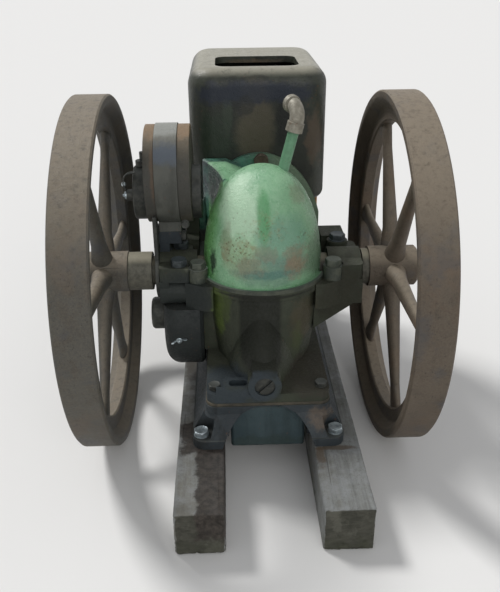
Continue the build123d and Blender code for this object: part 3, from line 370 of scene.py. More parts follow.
def old_wood():
    """Grey weathered timber with fine grain along Y, checks, end grain and dark stains; the dark stains
    near the front of the left skid are partly painted shadow of the engine.
    """
    coat = Coat("weathered_wood")
    grain = coat.noise(scale=260, detail=6, rough=0.7, stretch=(1, 0.04, 1), shift=1.3)
    tone = coat.mix(coat.between(grain, 0.3, 0.7), srgb(104, 105, 102), srgb(132, 133, 130))
    wide = coat.cloud(0.42, 0.64, scale=30, detail=4, stretch=(1, 0.12, 1), shift=4.2)
    tone = coat.over(tone, wide, 0.5, srgb(122, 118, 106))
    cloudy = coat.cloud(0.4, 0.64, scale=36, detail=6, rough=0.7, shift=8.1)
    tone = coat.over(tone, cloudy, 0.5, srgb(150, 153, 154))
    checks = coat.cloud(0.63, 0.68, scale=130, detail=4, rough=0.55, stretch=(1, 0.022, 1), shift=7.9)
    tone = coat.over(tone, checks, 0.5, srgb(66, 63, 58))
    fine = coat.noise(scale=420, detail=4, rough=0.7, shift=3.1)
    tone = coat.over(tone, coat.between(fine, 0.56, 0.7), 0.5, srgb(80, 77, 70))

    ends = coat.between(coat.calc("ABSOLUTE", coat.facing["y"], 0.0), 0.6, 0.9)
    rings = coat.cloud(0.3, 0.7, scale=90, rough=0.7, stretch=(0.6, 1, 1.8), shift=6.3)
    end_tone = coat.mix(rings, srgb(58, 58, 51), srgb(78, 77, 69))
    pale = coat.cloud(0.5, 0.62, scale=40, rough=0.65, shift=2.7)
    tone = coat.mix(ends, tone, coat.over(end_tone, pale, 0.55, srgb(98, 97, 88)))

    stain_and_shadow_noise = coat.cloud(0.35, 0.65, scale=120, rough=0.7, shift=6.8)
    oil_and_shadow = coat.mix(stain_and_shadow_noise, srgb(46, 42, 39), srgb(70, 64, 59))
    stains_and_shadow = (
        # Dark oily stain on the left skid in these two rows, partly painted shadow of the engine
        (oil_and_shadow, 0.9, (-68, -215, -172), (22, 96, 40), 0.4, 45, 1.1, True),
        (oil_and_shadow, 0.9, (-80, -138, -172), (32, 36, 40), 0.4, 50, 7.1, True),
        (srgb(74, 68, 60), 0.7, (-88, 60, -172), (26, 120, 30), 0.8, 40, 2.4),
        (srgb(84, 70, 56), 0.75, (80, -168, -172), (30, 5, 6), 0.5, 90, 3.3),
        (srgb(92, 76, 58), 0.65, (62, -182, -172), (6, 20, 6), 0.6, 90, 5.3),
        (srgb(84, 84, 74), 0.5, (84, -60, -190), (40, 150, 22), 0.9, 40, 4.8),
    )
    tone = coat.patched(tone, stains_and_shadow)
    near_ground = coat.between(coat.at["z"], 30 * mm, 4 * mm)
    damp = coat.both(near_ground, coat.cloud(0.35, 0.6, scale=60, shift=9.3))
    tone = coat.over(tone, damp, 0.5, srgb(70, 72, 58))
    skin = coat.bump(grain, 0.6 * mm, 0.7)
    skin = coat.bump(fine, 0.6 * mm, 0.6, skin)
    skin = coat.bump(coat.without(checks), 1 * mm, 0.7, skin)
    return coat.finish(tone, coat.between(grain, 0.3, 0.7, 0.72, 0.9), skin, gloss=0.2)


def ceramic():
    """Off-white insulator, stained brown."""
    coat = Coat("spark_plug_body")
    stains = coat.cloud(0.4, 0.62, scale=150, rough=0.65)
    tone = coat.mix(stains, srgb(196, 188, 168), srgb(120, 104, 84))
    skin = coat.bump(coat.noise(scale=300, detail=4), 0.1 * mm, 0.5)
    sheen = coat.between(coat.noise(scale=80, detail=4, shift=2.0), 0.4, 0.6, 0.25, 0.5)
    return coat.finish(tone, sheen, skin)


# Patches, in rows: colour, share, centre and size in millimetres from the crank line, raggedness, scale
# and shift of the noise at the edge, and True where the patch is squarish
moss = srgb(62, 72, 40)
blue_grey = srgb(48, 56, 62)
case_patches = (
    (srgb(82, 98, 42), 0.75, (-60, -52, -30), (9, 24, 46), 0.5, 60, 1.1),
    (srgb(70, 82, 42), 0.6, (-50, -64, -20), (7, 24, 30), 0.7, 60, 5.5),
    (srgb(74, 66, 48), 0.5, (50, -70, -44), (20, 40, 30), 0.6, 50, 7.9),
    # Painted sunlight on the left of the crankcase top
    (srgb(140, 142, 122), 0.5, (-64, -58, 18), (34, 40, 8), 0.5, 80, 1.9),
    (moss, 0.6, (46, -96, -66), (15, 30, 32), 0.6, 60, 2.3),
    # Painted shade under the left bearing housing
    (srgb(32, 37, 37), 0.85, (-104, -30, -22), (48, 66, 46), 0.3, 45, 8.8),
    (srgb(92, 96, 84), 0.6, (0, 0, 19), (102, 102, 5), 0.3, 90, 6.6),
    (srgb(26, 28, 22), 0.8, (0, -70, -4), (74, 60, 2.2), 0.15, 60, 7.2),
    (srgb(22, 24, 17), 0.92, (-7, -110, -38), (27, 70, 42), 0.06, 70, 3.9, True),
    (srgb(40, 39, 29), 0.75, (96, -20, -18), (44, 66, 44), 0.4, 45, 3.3),
    # Painted light: bluish sky light on the bed and its ledge, in these two rows
    (blue_grey, 0.85, (-8, -158, -90), (32, 14, 28), 0.4, 60, 4.4),
    (blue_grey, 0.85, (-52, -128, -104), (46, 50, 20), 0.4, 50, 5.8),
    (srgb(54, 50, 43), 0.7, (58, -100, -102), (44, 70, 12), 0.6, 50, 6.2),
)
base_patches = (
    (srgb(98, 86, 74), 0.7, (62, -138, -140), (20, 22, 24), 0.6, 70, 1.4),
    (srgb(30, 30, 28), 0.6, (-84, -150, -160), (18, 24, 18), 0.6, 60, 2.6),
)
hopper_patches = (
    # Painted shade over the hopper's front face
    (srgb(26, 28, 26), 0.6, (0, 92, 150), (74, 10, 84), 0.4, 45, 3.6, True),
    (srgb(78, 72, 58), 0.75, (-4, 96, 168), (27, 20, 62), 0.3, 50, 2.9),
    (srgb(52, 60, 50), 0.7, (-42, 96, 186), (8, 20, 30), 0.5, 60, 6.9),
    (srgb(20, 22, 20), 0.8, (34, 96, 176), (12, 20, 50), 0.4, 50, 4.1),
    (srgb(30, 36, 48), 0.85, (-10, 96, 212), (96, 30, 16), 0.5, 60, 1.7),
    (srgb(30, 32, 32), 0.7, (-18, 96, 196), (14, 20, 16), 0.6, 70, 8.3),
    # Painted sunlight on the inner back wall of the slot
    (srgb(128, 104, 78), 0.6, (0, 240, 236), (70, 26, 6), 0.3, 60, 9.1),
    (srgb(40, 52, 40), 0.6, (-62, 96, 140), (26, 20, 50), 0.6, 50, 5.2),
    (srgb(84, 70, 56), 0.6, (78, 102, 150), (14, 26, 40), 0.7, 50, 6.4),
)
# Painted shade: the tank is darker near its bottom, by the ground
tank_patches = ((srgb(44, 56, 52), 0.6, (0, -138, -182), (60, 30, 10), 0.8, 60, 3.2),)
magneto_patches = (
    # Painted light: a bluish sky reflection on the front and painted sunlight on the top of the magneto
    (srgb(80, 88, 98), 0.8, (-120, -33, 166), (40, 30, 16), 0.4, 60, 4.2),
    (srgb(150, 152, 146), 0.7, (-120, 10, 190), (40, 40, 10), 0.3, 60, 1.2),
)
plate_patches = (
    (srgb(136, 112, 86), 0.7, (-120, 20, 190), (60, 60, 14), 0.5, 60, 3.3),
    (srgb(60, 60, 56), 0.8, (-120, -34, 104), (60, 24, 60), 0.5, 60, 4.9),
    (srgb(98, 78, 60), 0.5, (-135, -34, 150), (4, 24, 50), 0.5, 90, 5.9),
)
pipe_patches = ((srgb(104, 78, 54), 0.9, (28, 26, 140), (14, 14, 6), 0.4, 90, 1.0),)

finishes = (
    old_wood(),
    old_paint(),
    ceramic(),
    wheel_iron(),
    old_iron(
        "blue_grey_iron", ((36, 42, 46), (52, 58, 61), (26, 29, 30)),
        rust_share=0.25, dust=(92, 94, 88), dust_share=0.4, patches=base_patches,
    ),
    old_iron(
        "tank_paint", ((44, 58, 62), (58, 72, 75), (46, 58, 60)),
        rust_share=0.1, dust=(104, 106, 98), dust_share=0.3, patches=tank_patches,
    ),
    old_iron(
        "rusty_gasket", ((44, 43, 37), (84, 78, 66), (34, 33, 30)),
        rust_share=0.3, dust=(100, 94, 82), dust_share=0.3, rust=(80, 68, 56),
    ),
    old_iron(
        "olive_iron", ((42, 46, 36), (56, 60, 48), (32, 35, 27)),
        rust_share=0.12, dust=(88, 88, 78), dust_share=0.3, patches=case_patches,
    ),
    # The hopper's dust on top is paler and thicker than elsewhere, partly painted sunlight on its top
    old_iron(
        "black_green_iron", ((44, 48, 40), (56, 59, 50), (33, 36, 31)),
        rust_share=0.15, dust=(160, 156, 140), dust_share=0.8, rough=(0.28, 0.5), patches=hopper_patches,
    ),
    old_iron(
        "rust_brown_iron", ((60, 58, 51), (74, 71, 62), (46, 44, 39)),
        rust_share=0.3, dust=(132, 118, 98), dust_share=0.5, patches=plate_patches,
    ),
    old_iron(
        "grey_steel", ((68, 70, 66), (80, 81, 75), (60, 61, 56)),
        rust_share=0.05, dust=(138, 136, 126), dust_share=0.4, rough=(0.36, 0.55), patches=magneto_patches,
    ),
    worn_steel(
        "zinc_steel", ((132, 142, 146), (172, 182, 186)),
        rust=(104, 90, 72), rust_share=0.15, metal=0.75, rough=(0.28, 0.42),
    ),
    worn_steel(
        "dark_steel", ((46, 48, 46), (66, 67, 62)),
        rust=(84, 64, 46), rust_share=0.22, metal=0.3, rough=(0.42, 0.6), top=(92, 95, 92),
    ),
    worn_steel(
        "rusty_steel", ((66, 66, 58), (90, 88, 78)),
        rust=(108, 76, 52), rust_share=0.28, metal=0.3, rough=(0.45, 0.65), top=(116, 114, 104),
    ),
    worn_steel(
        "line_brass", ((112, 84, 48), (150, 116, 70)),
        rust=(70, 76, 58), rust_share=0.3, metal=0.8, rough=(0.35, 0.5),
    ),
    worn_steel(
        "shaft_steel", ((70, 69, 61), (92, 90, 80)),
        rust=(92, 74, 56), rust_share=0.12, metal=0.25, rough=(0.48, 0.66), top=(150, 144, 124),
    ),
)
# The CAD's materials hold the plain names, so Blender puts a number behind those of the finishes
materials = {material.name.split(".")[0]: material for material in finishes}

# Finishes of single nodes that differ from their slot's common one
own_finish = {
    "cap_bolts": worn_steel(
        "cap_bolt_steel", ((50, 56, 57), (70, 76, 77)),
        rust=(84, 68, 52), rust_share=0.12, metal=0.3, rough=(0.4, 0.58), top=(94, 102, 106),
    ),
    "cover_bolts": worn_steel(
        "ear_bolt_steel", ((64, 70, 62), (86, 90, 80)),
        rust=(100, 74, 52), rust_share=0.2, metal=0.3, rough=(0.42, 0.6), top=(112, 118, 108),
    ),
    # The gear case is darkened to near black, painted shade under the bearing
    "gear_case": old_iron(
        "gear_case_iron", ((26, 30, 30), (38, 42, 41), (20, 23, 23)),
        rust_share=0.1, dust=(66, 68, 64), dust_share=0.35,
    ),
    "magneto_bracket": old_iron(
        "bracket_iron", ((34, 40, 44), (48, 54, 58), (26, 30, 32)),
        rust_share=0.15, dust=(86, 90, 90), dust_share=0.4,
    ),
    "breather_elbow": worn_steel(
        "elbow_zinc", ((118, 114, 102), (146, 142, 130)),
        rust=(118, 88, 62), rust_share=0.45, metal=0.3, rough=(0.45, 0.62),
    ),
    "flange_bolt": worn_steel(
        "flange_bolt_steel", ((66, 58, 50), (84, 74, 62)),
        rust=(92, 66, 48), rust_share=0.5, metal=0.2, rough=(0.5, 0.66),
    ),
    "breather_pipe": old_iron(
        "pipe_paint", ((84, 122, 94), (104, 146, 116), (72, 100, 76)),
        rust_share=0.05, dust=(150, 168, 148), dust_share=0.3, rough=(0.35, 0.5), patches=pipe_patches,
    ),
}
node_slot = {row["node"]: row["material_slot"] for row in frame["record"]["subparts"]}
for name, shape in nodes.items():
    shape.data.materials.clear()
    shape.data.materials.append(own_finish.get(name) or materials[node_slot[name]])


def smooth(shape):
    for face in shape.data.polygons:
        face.use_smooth = True


def soften(shape, width, angle=32):
    """Rounds the sharp edges of a shape with modifiers. The width is in millimetres."""
    smooth(shape)
    normals = shape.data.attributes.get("custom_normal")
    if normals is not None:
        shape.data.attributes.remove(normals)
    weld = shape.modifiers.new("weld", "WELD")
    weld.merge_threshold = 0.02 * mm
    flat = shape.modifiers.new("flat", "DECIMATE")
    flat.decimate_type = "DISSOLVE"
    flat.angle_limit = math.radians(0.4)
    edge = shape.modifiers.new("edge", "BEVEL")
    edge.width = width * mm
    edge.segments = 2
    edge.limit_method = "ANGLE"
    edge.angle_limit = math.radians(angle)
    edge.harden_normals = True
    edge.use_clamp_overlap = True


# Widths of the rounded edges, in millimetres
small_edge = 0.7
edge_width = {
    "sub_base": 2,
    "crankcase": 2.2,
    "crankcase_cover": 1.8,
    "bearing_cap_left": 4,
    "bearing_cap_right": 4,
    "water_hopper": 3,
    "gear_case": 1.5,
    "flywheel_left": 1.4,
    "flywheel_right": 1.4,
    "fuel_tank": 1,
    "cylinder_head": 1.5,
}
for name, shape in nodes.items():
    soften(shape, edge_width.get(name, small_edge))


def add_object(name, data):
    shape = bpy.data.objects.new(name, data)
    bpy.context.scene.collection.objects.link(shape)
    return shape


def frame_at(place, angle, axis):
    """A frame at a place, turned by degrees about an axis."""
    return Matrix.Translation(place) @ Matrix.Rotation(math.radians(angle), 4, axis)


def circle(radius, height, count, frame_of, turn=0.0):
    out = []
    for step in range(count):
        angle = turn + 2 * math.pi * step / count
        out.append(frame_of @ Vector((radius * math.cos(angle), radius * math.sin(angle), height)))
    return out


class Form:
    """The points and faces of one piece."""

    def __init__(self):
        self.points = []
        self.faces = []

    def skin(self, rings):
        """Faces between rings of equal count, in order along their axis, with the ends closed."""
        start = len(self.points)
        count = len(rings[0])
        for ring in rings:
            self.points.extend(ring)
        for row in range(len(rings) - 1):
            low = start + row * count
            for step in range(count):
                after = (step + 1) % count
                self.faces.append((low + step, low + after, low + count + after, low + count + step))
        last = start + count * (len(rings) - 1)
        self.faces.append(tuple(range(start + count - 1, start - 1, -1)))
        self.faces.append(tuple(range(last, last + count)))

    def turned(self, profile, count, frame_of):
        """A round shape from rows of radius and height, in millimetres."""
        self.skin([circle(radius * mm, height * mm, count, frame_of) for radius, height in profile])

    def piece(self, name, slot):
        mesh = bpy.data.meshes.new(name)
        mesh.from_pydata(self.points, [], self.faces)
        shape = add_object(name, mesh)
        mesh.materials.append(materials[slot])
        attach(shape, "engine")
        return shape


def loose_boxes(name):
    """Lowest and highest corners of each separate solid in a node."""
    work = bmesh.new()
    work.from_mesh(nodes[name].data)
    bmesh.ops.remove_doubles(work, verts=work.verts, dist=0.001 * mm)
    left = set(work.verts)
    boxes = []
    while left:
        group = [left.pop()]
        for point in group:
            for link in point.link_edges:
                other = link.other_vert(point)
                if other in left:
                    left.remove(other)
                    group.append(other)
        corners = [tuple(pick(point.co[i] for point in group) for i in range(3)) for pick in (min, max)]
        boxes.append(corners)
    work.free()
    return sorted(boxes)


hex_points = 24


def hex_ring(flats, height, frame_of, turn, limit=None, drop=0.0):
    """A ring of points round a hexagon. Beyond the limit radius it drops as a chamfer does."""
    out = []
    for step in range(hex_points):
        angle = turn + 2 * math.pi * step / hex_points
        within = (step * 360 / hex_points + 30) % 60 - 30
        radius = flats / 2 / math.cos(math.radians(within))
        low = 0.0 if limit is None else max(0.0, radius - limit) * drop
        out.append(frame_of @ Vector((radius * math.cos(angle), radius * math.sin(angle), height - low)))
    return out


def hex_head(form, frame_of, flats, height, washer_radius, washer_height, turn):
    """A hexagon head with a chamfered crown on a washer, in millimetres and radians. The frame's Z points
    out of the seat."""
    rim = 0.3
    washer = (
        (washer_radius, 0.0),
        (washer_radius, washer_height - rim),
        (washer_radius - rim, washer_height),
    )
    form.turned(washer, 32, frame_of)
    flats, height, foot = flats * mm, height * mm, washer_height * mm
    foot_share = 0.98
    foot_rise = 0.6 * mm
    chamfer_slope = 0.62
    crown = flats / 2 * 0.95
    crown_share = 0.86
    crown_drop = 0.4 * mm
    form.skin(
        [
            hex_ring(flats * foot_share, foot, frame_of, turn),
            hex_ring(flats, foot + foot_rise, frame_of, turn),
            hex_ring(flats, height, frame_of, turn, crown, chamfer_slope),
            circle(crown, height, hex_points, frame_of, turn),
            circle(crown * crown_share, height - crown_drop, hex_points, frame_of, turn),
        ]
    )


def seat_frame(low, high, axis, sign):
    """A frame at the middle of a box's seat, with Z along the bolt."""
    middle = (Vector(low) + Vector(high)) / 2
    middle[axis] = (low if sign > 0 else high)[axis]
    out_of = Vector((0, 0, 0))
    out_of[axis] = sign
    turn = out_of.to_track_quat("Z", "Y").to_matrix().to_4x4()
    return Matrix.Translation(middle) @ turn


# Bolts: node, piece, across flats, head height, axis, direction, then turn and washer radius of each, in
# millimetres and degrees. The front bolt of the right bearing cap is missing, as in the photograph
bolt_rows = (
    ("base_bolts", "base_bolt_heads", 17, 7.5, 2, 1, ((8, 9.5), (33, 9.5), (-6, 9.5), (18, 9.5))),
    ("bed_bolts", "bed_bolt_heads", 14, 6.5, 2, 1, ((12, 7.4), (40, 7.4), (24, 7.4), (5, 7.4))),
    ("cap_bolts", "cap_bolt_heads", 19, 9, 2, 1, ((16, 10), (-8, 10), (22, 11.5), None)),
    ("cover_bolts", "cover_bolt_heads", 19, 9, 2, 1, ((24, 10), (9, 10))),
    ("flange_bolt", "flange_bolt_head", 19, 8, 1, -1, ((10, 10),)),
    ("head_nuts", "head_nut_set", 19, 14, 1, 1, ((5, 12.4), (20, 12.4), (12, 12.4), (28, 12.4))),
)
washer_height = 1.6
for node, name, flats, height, axis, sign, ways in bolt_rows:
    form = Form()
    for (low, high), way in zip(loose_boxes(node), ways):
        if way is not None:
            turn, washer_radius = way
            seat = seat_frame(low, high, axis, sign)
            hex_head(form, seat, flats, height, washer_radius, washer_height, math.radians(turn))
    heads = form.piece(name, node_slot[node])
    if node in own_finish:
        heads.data.materials[0] = own_finish[node]
    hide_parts(node)
    soften(heads, 0.4, 25)


def tube(form, path, radius, count):
    """A round wire along a path of points, with closed ends."""
    rings = []
    side = None
    for step, point in enumerate(path):
        ahead = path[min(step + 1, len(path) - 1)] - path[max(step - 1, 0)]
        ahead.normalize()
        if side is None:
            side = ahead.orthogonal().normalized()
        side = (side - ahead * side.dot(ahead)).normalized()
        other = ahead.cross(side)
        turns = (2 * math.pi * k / count for k in range(count))
        rings.append([point + radius * (math.cos(a) * side + math.sin(a) * other) for a in turns])
    form.skin(rings)


# Valve springs wound from wire in place of the plain rings
form = Form()
wire_radius = 1.2 * mm
wire_sides = 10
coil_turns = 5.5
coil_steps = 132
for low, high in loose_boxes("valve_springs"):
    middle = (Vector(low) + Vector(high)) / 2
    coil = (high[2] - low[2]) / 2 - wire_radius
    path = []
    for step in range(coil_steps + 1):
        share = step / coil_steps
        angle = 2 * math.pi * coil_turns * share
        rise = low[1] + wire_radius + (high[1] - low[1] - 2 * wire_radius) * share
        path.append(Vector((middle.x + coil * math.cos(angle), rise, middle.z + coil * math.sin(angle))))
    tube(form, path, wire_radius, wire_sides)
springs = form.piece("valve_spring_coils", "dark_steel")
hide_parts("valve_springs")
smooth(springs)


def block_skin(form, low, high, counts, moved):
    """The skin of a block cut into small faces, each point put through a function."""
    index = {}

    def corner(key):
        if key not in index:
            index[key] = len(form.points)
            place = [low[a] + (high[a] - low[a]) * key[a] / counts[a] for a in range(3)]
            form.points.append(moved(Vector(place)))
        return index[key]

    for axis in range(3):
        first, second = (axis + 1) % 3, (axis + 2) % 3
        for side in (0, counts[axis]):
            for u in range(counts[first]):
                for v in range(counts[second]):
                    cell = []
                    for du, dv in ((0, 0), (1, 0), (1, 1), (0, 1)):
                        key = [side, side, side]
                        key[first] = u + du
                        key[second] = v + dv
                        cell.append(corner(tuple(key)))
                    form.faces.append(tuple(cell) if side else tuple(reversed(cell)))


def timber(node, name, seed):
    """A skid with worn arrises, checks along the grain and split ends, inside its solid's box."""
    low, high = (Vector(corner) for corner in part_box(node))
    middle = (low + high) / 2
    half = (high - low) / 2
    offset = Vector((seed, seed * 2.3, seed * 0.7))
    wear_mean, wear_swing, wear_fine, wear_least = 0.0035, 0.003, 0.0012, 0.0015
    wave_depth, split_depth, top_split_depth = 0.0009, 0.0016, 0.0006
    cut_mean, cut_split, cut_fine = 0.0008, 0.0022, 0.001

    def stretched(point, x, y, z):
        return Vector((point.x * x, point.y * y, point.z * z))

    def narrow(value, width):
        """1 where a value is nought, falling to 0 at the width."""
        return max(0.0, 1.0 - abs(value) / width)

    def moved(point):
        local = point - middle
        wear = wear_mean + wear_swing * noise.noise(Vector((seed, point.y * 14, 0.0)) + offset)
        wear += wear_fine * noise.noise(point * 120 + offset)
        wear = max(wear_least, wear)
        core = Vector([max(-(half[a] - wear), min(half[a] - wear, local[a])) for a in range(3)])
        out = local - core
        if out.length > wear:
            out *= wear / out.length
        away = out.normalized() if out.length > 0.1 * mm else Vector((0, 0, 0))
        at_end = abs(away.y)
        flat = max(0.0, 1.0 - abs(away.z) * 1.4) * (1.0 - at_end)
        along = noise.noise(stretched(point, 95, 5, 95) + offset)
        split = narrow(along, 0.07) * max(0.0, noise.noise(point * 18 - offset) + 0.25)
        wave = 0.5 + 0.5 * noise.noise(stretched(point, 12, 9, 30) - offset)
        across = noise.noise(Vector((point.x * 50, seed, point.z * 90)) + offset)
        end_cut = cut_mean + cut_split * narrow(across, 0.08) + cut_fine * abs(noise.noise(point * 260))
        depth = flat * (wave_depth * wave + split_depth * split)
        depth += top_split_depth * split * abs(away.z) + end_cut * at_end
        return middle + core + out - away * depth

    form = Form()
    block_skin(form, low, high, (28, 150, 28), moved)
    beam = form.piece(name, "weathered_wood")
    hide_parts(node)
    smooth(beam)


timber("skid_left", "timber_left", 3.1)
timber("skid_right", "timber_right", 7.7)

# Wing nut on the front of the small end disc. Each section of a wing has its reach, rise, half width and
# half thickness, in millimetres
wing_sections = (
    (2, 2, 2.4, 1.6),
    (4.4, 3.6, 2.7, 1.4),
    (6.8, 5.8, 3.2, 1.1),
    (8.8, 7.8, 3.0, 1.0),
    (10.2, 9.2, 1.9, 0.8),
    (10.7, 9.7, 0.7, 0.4),
)
wing_lean = 0.6
wing_flatness = 0.7
form = Form()
nut_seat = frame_at(at_crank(-112, -54, -75), 90, "X")
form.turned(((5.0, -6), (5.2, 0), (4.6, 4), (3.8, 6), (2.6, 6.1)), 20, nut_seat)
form.turned(((2.2, 5.6), (2.2, 9), (1.8, 9.5)), 16, nut_seat)
for lean in (15, 195):
    swing = nut_seat @ Matrix.Rotation(math.radians(lean), 4, "Z")
    rings = []
    for reach, rise, wide, thick in wing_sections:
        ring = []
        for step in range(12):
            angle = 2 * math.pi * step / 12
            x = reach - wing_lean * wide * math.cos(angle) * wing_flatness
            z = rise + wide * math.cos(angle) * wing_flatness
            ring.append(swing @ (Vector((x, thick * math.sin(angle), z)) * mm))
        rings.append(ring)
    form.skin(rings)
wing_nut = form.piece("wing_nut", "zinc_steel")
smooth(wing_nut)

# Foot, leg and end flange of the magneto bracket, down to the bearing cap
form = Form()
foot = (-138.5, -119.5, -4, 16, (21, 26))
leg = (-137, -122, -0.6, 12, (24, 38.5))
for x0, x1, y0, y1, heights in (foot, leg):
    form.skin([[at_crank(x, y, z) for x, y in ((x0, y0), (x1, y0), (x1, y1), (x0, y1))] for z in heights])
flange_corners = ((-0.6, 30), (58, 30), (58, 54), (-0.6, 54))
flange_left, flange_right = -138.5, -133.5
form.skin([[at_crank(x, y, z) for y, z in flange_corners] for x in (flange_left, flange_right)])
bracket_leg = form.piece("magneto_bracket_leg", node_slot["magneto_bracket"])
bracket_leg.data.materials[0] = own_finish["magneto_bracket"]
soften(bracket_leg, 1, 30)

# Small bolt heads on the magneto's right plate, on the bracket's right end and on its left end flange
form = Form()
plate_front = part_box("magneto_plates")[0].y
bracket_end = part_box("magneto_bracket")[1].x
on_plate = frame_at((at_crank(-98, 0, 0).x, plate_front, at_crank(0, 0, 78).z), 90, "X")
on_end = frame_at((bracket_end, at_crank(0, 8, 0).y, at_crank(0, 0, 46).z), 90, "Y")
on_flange = frame_at(at_crank(flange_left, 12, 42), -90, "Y")
hex_head(form, on_plate, 9, 5, 5.4, 1, 0.3)
hex_head(form, on_end, 13, 6, 7.4, 1.2, 0.4)
hex_head(form, on_flange, 13, 5, 7.4, 1.2, 0.2)
small_heads = form.piece("magneto_bolt_heads", "dark_steel")
soften(small_heads, 0.3, 25)

# Terminal on the magneto's left end: a bent clip, a round nut and the clip's contact. The clip's path is
# in millimetres of X and Z
clip_y = -75.5
clip_path = (
    (-141, 365.6),
    (-147, 365.4),
    (-152, 363.6),
    (-155.6, 359.5),
    (-156.8, 353),
    (-155.6, 347),
    (-153.6, 342),
)
clip_half_width = 4.2 * mm
clip_half_thickness = 0.7
form = Form()
rings = []
for step, (x, z) in enumerate(clip_path):
    before = clip_path[max(step - 1, 0)]
    after = clip_path[min(step + 1, len(clip_path) - 1)]
    along = Vector((after[0] - before[0], 0, after[1] - before[1])).normalized()
    out = Vector((-along.z, 0, along.x)) * clip_half_thickness * mm
    spot = at_mm(x, clip_y, z)
    wide = Vector((0, clip_half_width, 0))
    rings.append([spot + out - wide, spot - out - wide, spot - out + wide, spot + out + wide])
form.skin(rings)
clip = form.piece("magneto_clip", "dark_steel")
soften(clip, 0.3, 30)

form = Form()
nut_frame = frame_at(at_mm(-152.5, clip_y, 336), -90, "Y")
nut_profile = ((2.2, -1), (4.6, 0), (5.0, 0.6), (5.0, 2.8), (4.4, 3.4), (2.0, 3.5), (2.0, 5.6), (1.5, 6.0))
form.turned(nut_profile, 30, nut_frame)
terminal_nut = form.piece("magneto_terminal_nut", "zinc_steel")
soften(terminal_nut, 0.2, 40)

form = Form()
ball_radius = 3.1 * mm
ball_frame = Matrix.Translation(at_mm(-156.2, clip_y, 350.5))
rings = []
for step in range(9):
    angle = math.pi * (step + 0.6) / 9.2
    rings.append(circle(ball_radius * math.sin(angle), -ball_radius * math.cos(angle), 18, ball_frame))
form.skin(rings)
contact = form.piece("magneto_clip_contact", "zinc_steel")
smooth(contact)

# Spark plug with a ribbed insulator, a hexagon shell and a terminal nut
form = Form()
(plug_low, plug_high), = loose_boxes("spark_plug")
plug_frame = seat_frame(plug_low, plug_high, 1, 1)
form.skin([hex_ring(22 * mm, z * mm, plug_frame, 0.3) for z in (0.0, 10.4)])
form.turned(((9.6, 10.2), (9.2, 13), (7.3, 15)), 28, plug_frame)
shell = form.piece("spark_plug_shell", "dark_steel")
soften(shell, 0.5, 25)

form = Form()
profile = [(7.0, 14.8)]
for rib in range(5):
    rise = 17 + rib * 5
    taper = rib * 0.35
    profile += [(6.4 - taper, rise), (6.9 - taper, rise + 1.4), (5.6 - taper, rise + 3)]
profile += [(4.2, 42.5), (4.0, 46)]
form.turned(profile, 28, plug_frame)
insulator = form.piece("spark_plug_insulator", "spark_plug_body")
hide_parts("spark_plug")
soften(insulator, 0.3, 40)

form = Form()
tip_profile = ((2.0, 45.8), (2.0, 48), (3.8, 48.2), (4.0, 51.4), (3.2, 52.6), (1.8, 52.8), (1.8, 54.9))
form.turned(tip_profile, 20, plug_frame)
tip = form.piece("spark_plug_terminal", "line_brass")
soften(tip, 0.3, 40)

# Mixer body, drawn in a little so that it stays behind the hopper as in the photograph
mixer_share = 0.84
mixer_mesh = nodes["mixer"].data.copy()
mixer_mesh.name = "mixer_body"
mixer_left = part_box("mixer")[0].x
for point in mixer_mesh.vertices:
    point.co.x = mixer_left + (point.co.x - mixer_left) * mixer_share
mixer_body = add_object("mixer_body", mixer_mesh)
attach(mixer_body, "engine")
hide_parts("mixer")
soften(mixer_body, small_edge)

# Camera
yaw, pitch, roll = (math.radians(a) for a in (camera_yaw, camera_pitch, camera_roll))
forward = Vector((math.sin(yaw) * math.cos(pitch), math.cos(yaw) * math.cos(pitch), -math.sin(pitch)))
level_right = Vector((math.cos(yaw), -math.sin(yaw), 0))
level_up = level_right.cross(forward)
right = math.cos(roll) * level_right + math.sin(roll) * level_up
up = -math.sin(roll) * level_right + math.cos(roll) * level_up
camera_data = bpy.data.cameras.new("camera")
camera_data.lens = focal_length
camera_data.sensor_width = sensor_width
camera = add_object("camera", camera_data)
camera.matrix_world = Matrix.Translation(camera_place) @ Matrix((right, up, -forward)).transposed().to_4x4()
bpy.context.scene.camera = camera

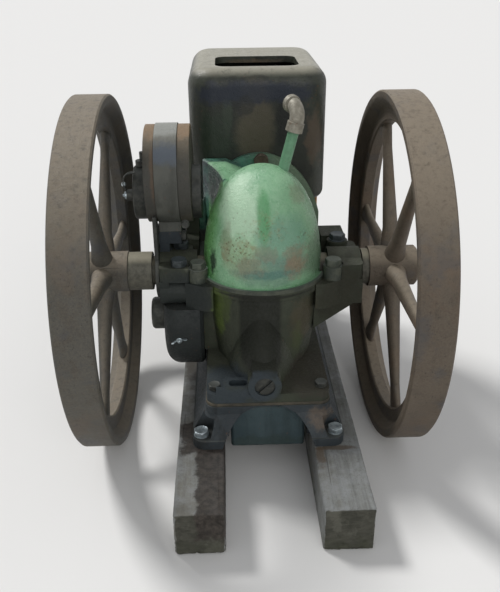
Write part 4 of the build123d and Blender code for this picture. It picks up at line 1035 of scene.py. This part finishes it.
# Plain pale floor
floor_mesh = bpy.data.meshes.new("floor")
floor_half = 40
floor_corners = ((-1, -1), (1, -1), (1, 1), (-1, 1))
floor_mesh.from_pydata([(x * floor_half, y * floor_half, 0) for x, y in floor_corners], [], [(0, 1, 2, 3)])
floor = add_object("floor", floor_mesh)
floor_paint = bpy.data.materials.new("floor_paint")
floor_paint.use_nodes = True
floor_shader = floor_paint.node_tree.nodes["Principled BSDF"]
floor_shader.inputs["Base Color"].default_value = (0.78, 0.77, 0.75, 1)
floor_shader.inputs["Roughness"].default_value = 1.0
floor_shader.inputs["Specular IOR Level"].default_value = 0.0
floor_mesh.materials.append(floor_paint)

# Soft studio light. Direct, mirrored and refracted views of the world show a plain pale grey
light_colour = (0.94, 0.96, 1.0, 1)
light_strength = 0.44
seen_colour = (0.80, 0.80, 0.80, 1)
world = bpy.data.worlds.new("studio")
world.use_nodes = True
bpy.context.scene.world = world
world_tree = world.node_tree
background = world_tree.nodes["Background"]
fill(world_tree, background, {"Color": light_colour, "Strength": light_strength})
seen = world_tree.nodes.new("ShaderNodeBackground")
fill(world_tree, seen, {"Color": seen_colour})
rays = world_tree.nodes.new("ShaderNodeLightPath")
is_seen = rays.outputs["Is Camera Ray"]
for kind in ("Is Glossy Ray", "Is Transmission Ray"):
    either = world_tree.nodes.new("ShaderNodeMath")
    either.operation = "MAXIMUM"
    fill(world_tree, either, {0: is_seen, 1: rays.outputs[kind]})
    is_seen = either.outputs[0]
choose = world_tree.nodes.new("ShaderNodeMixShader")
fill(world_tree, choose, {0: is_seen, 1: background.outputs[0], 2: seen.outputs[0]})
fill(world_tree, world_tree.nodes["World Output"], {"Surface": choose.outputs[0]})


def add_lamp(name, place, strength, spread):
    """A soft even light from a direction, with its spread in degrees."""
    data = bpy.data.lights.new(name, "SUN")
    data.energy = strength
    data.angle = math.radians(spread)
    lamp = add_object(name, data)
    lamp.location = place
    lamp.rotation_euler = (-Vector(place)).to_track_quat("-Z", "Y").to_euler()


add_lamp("key", (-1.3, 1.1, 2.1), strength=2.2, spread=14)
add_lamp("fill", (0.6, -2.4, 1.1), strength=0.9, spread=40)

bpy.context.scene.view_settings.view_transform = "Standard"
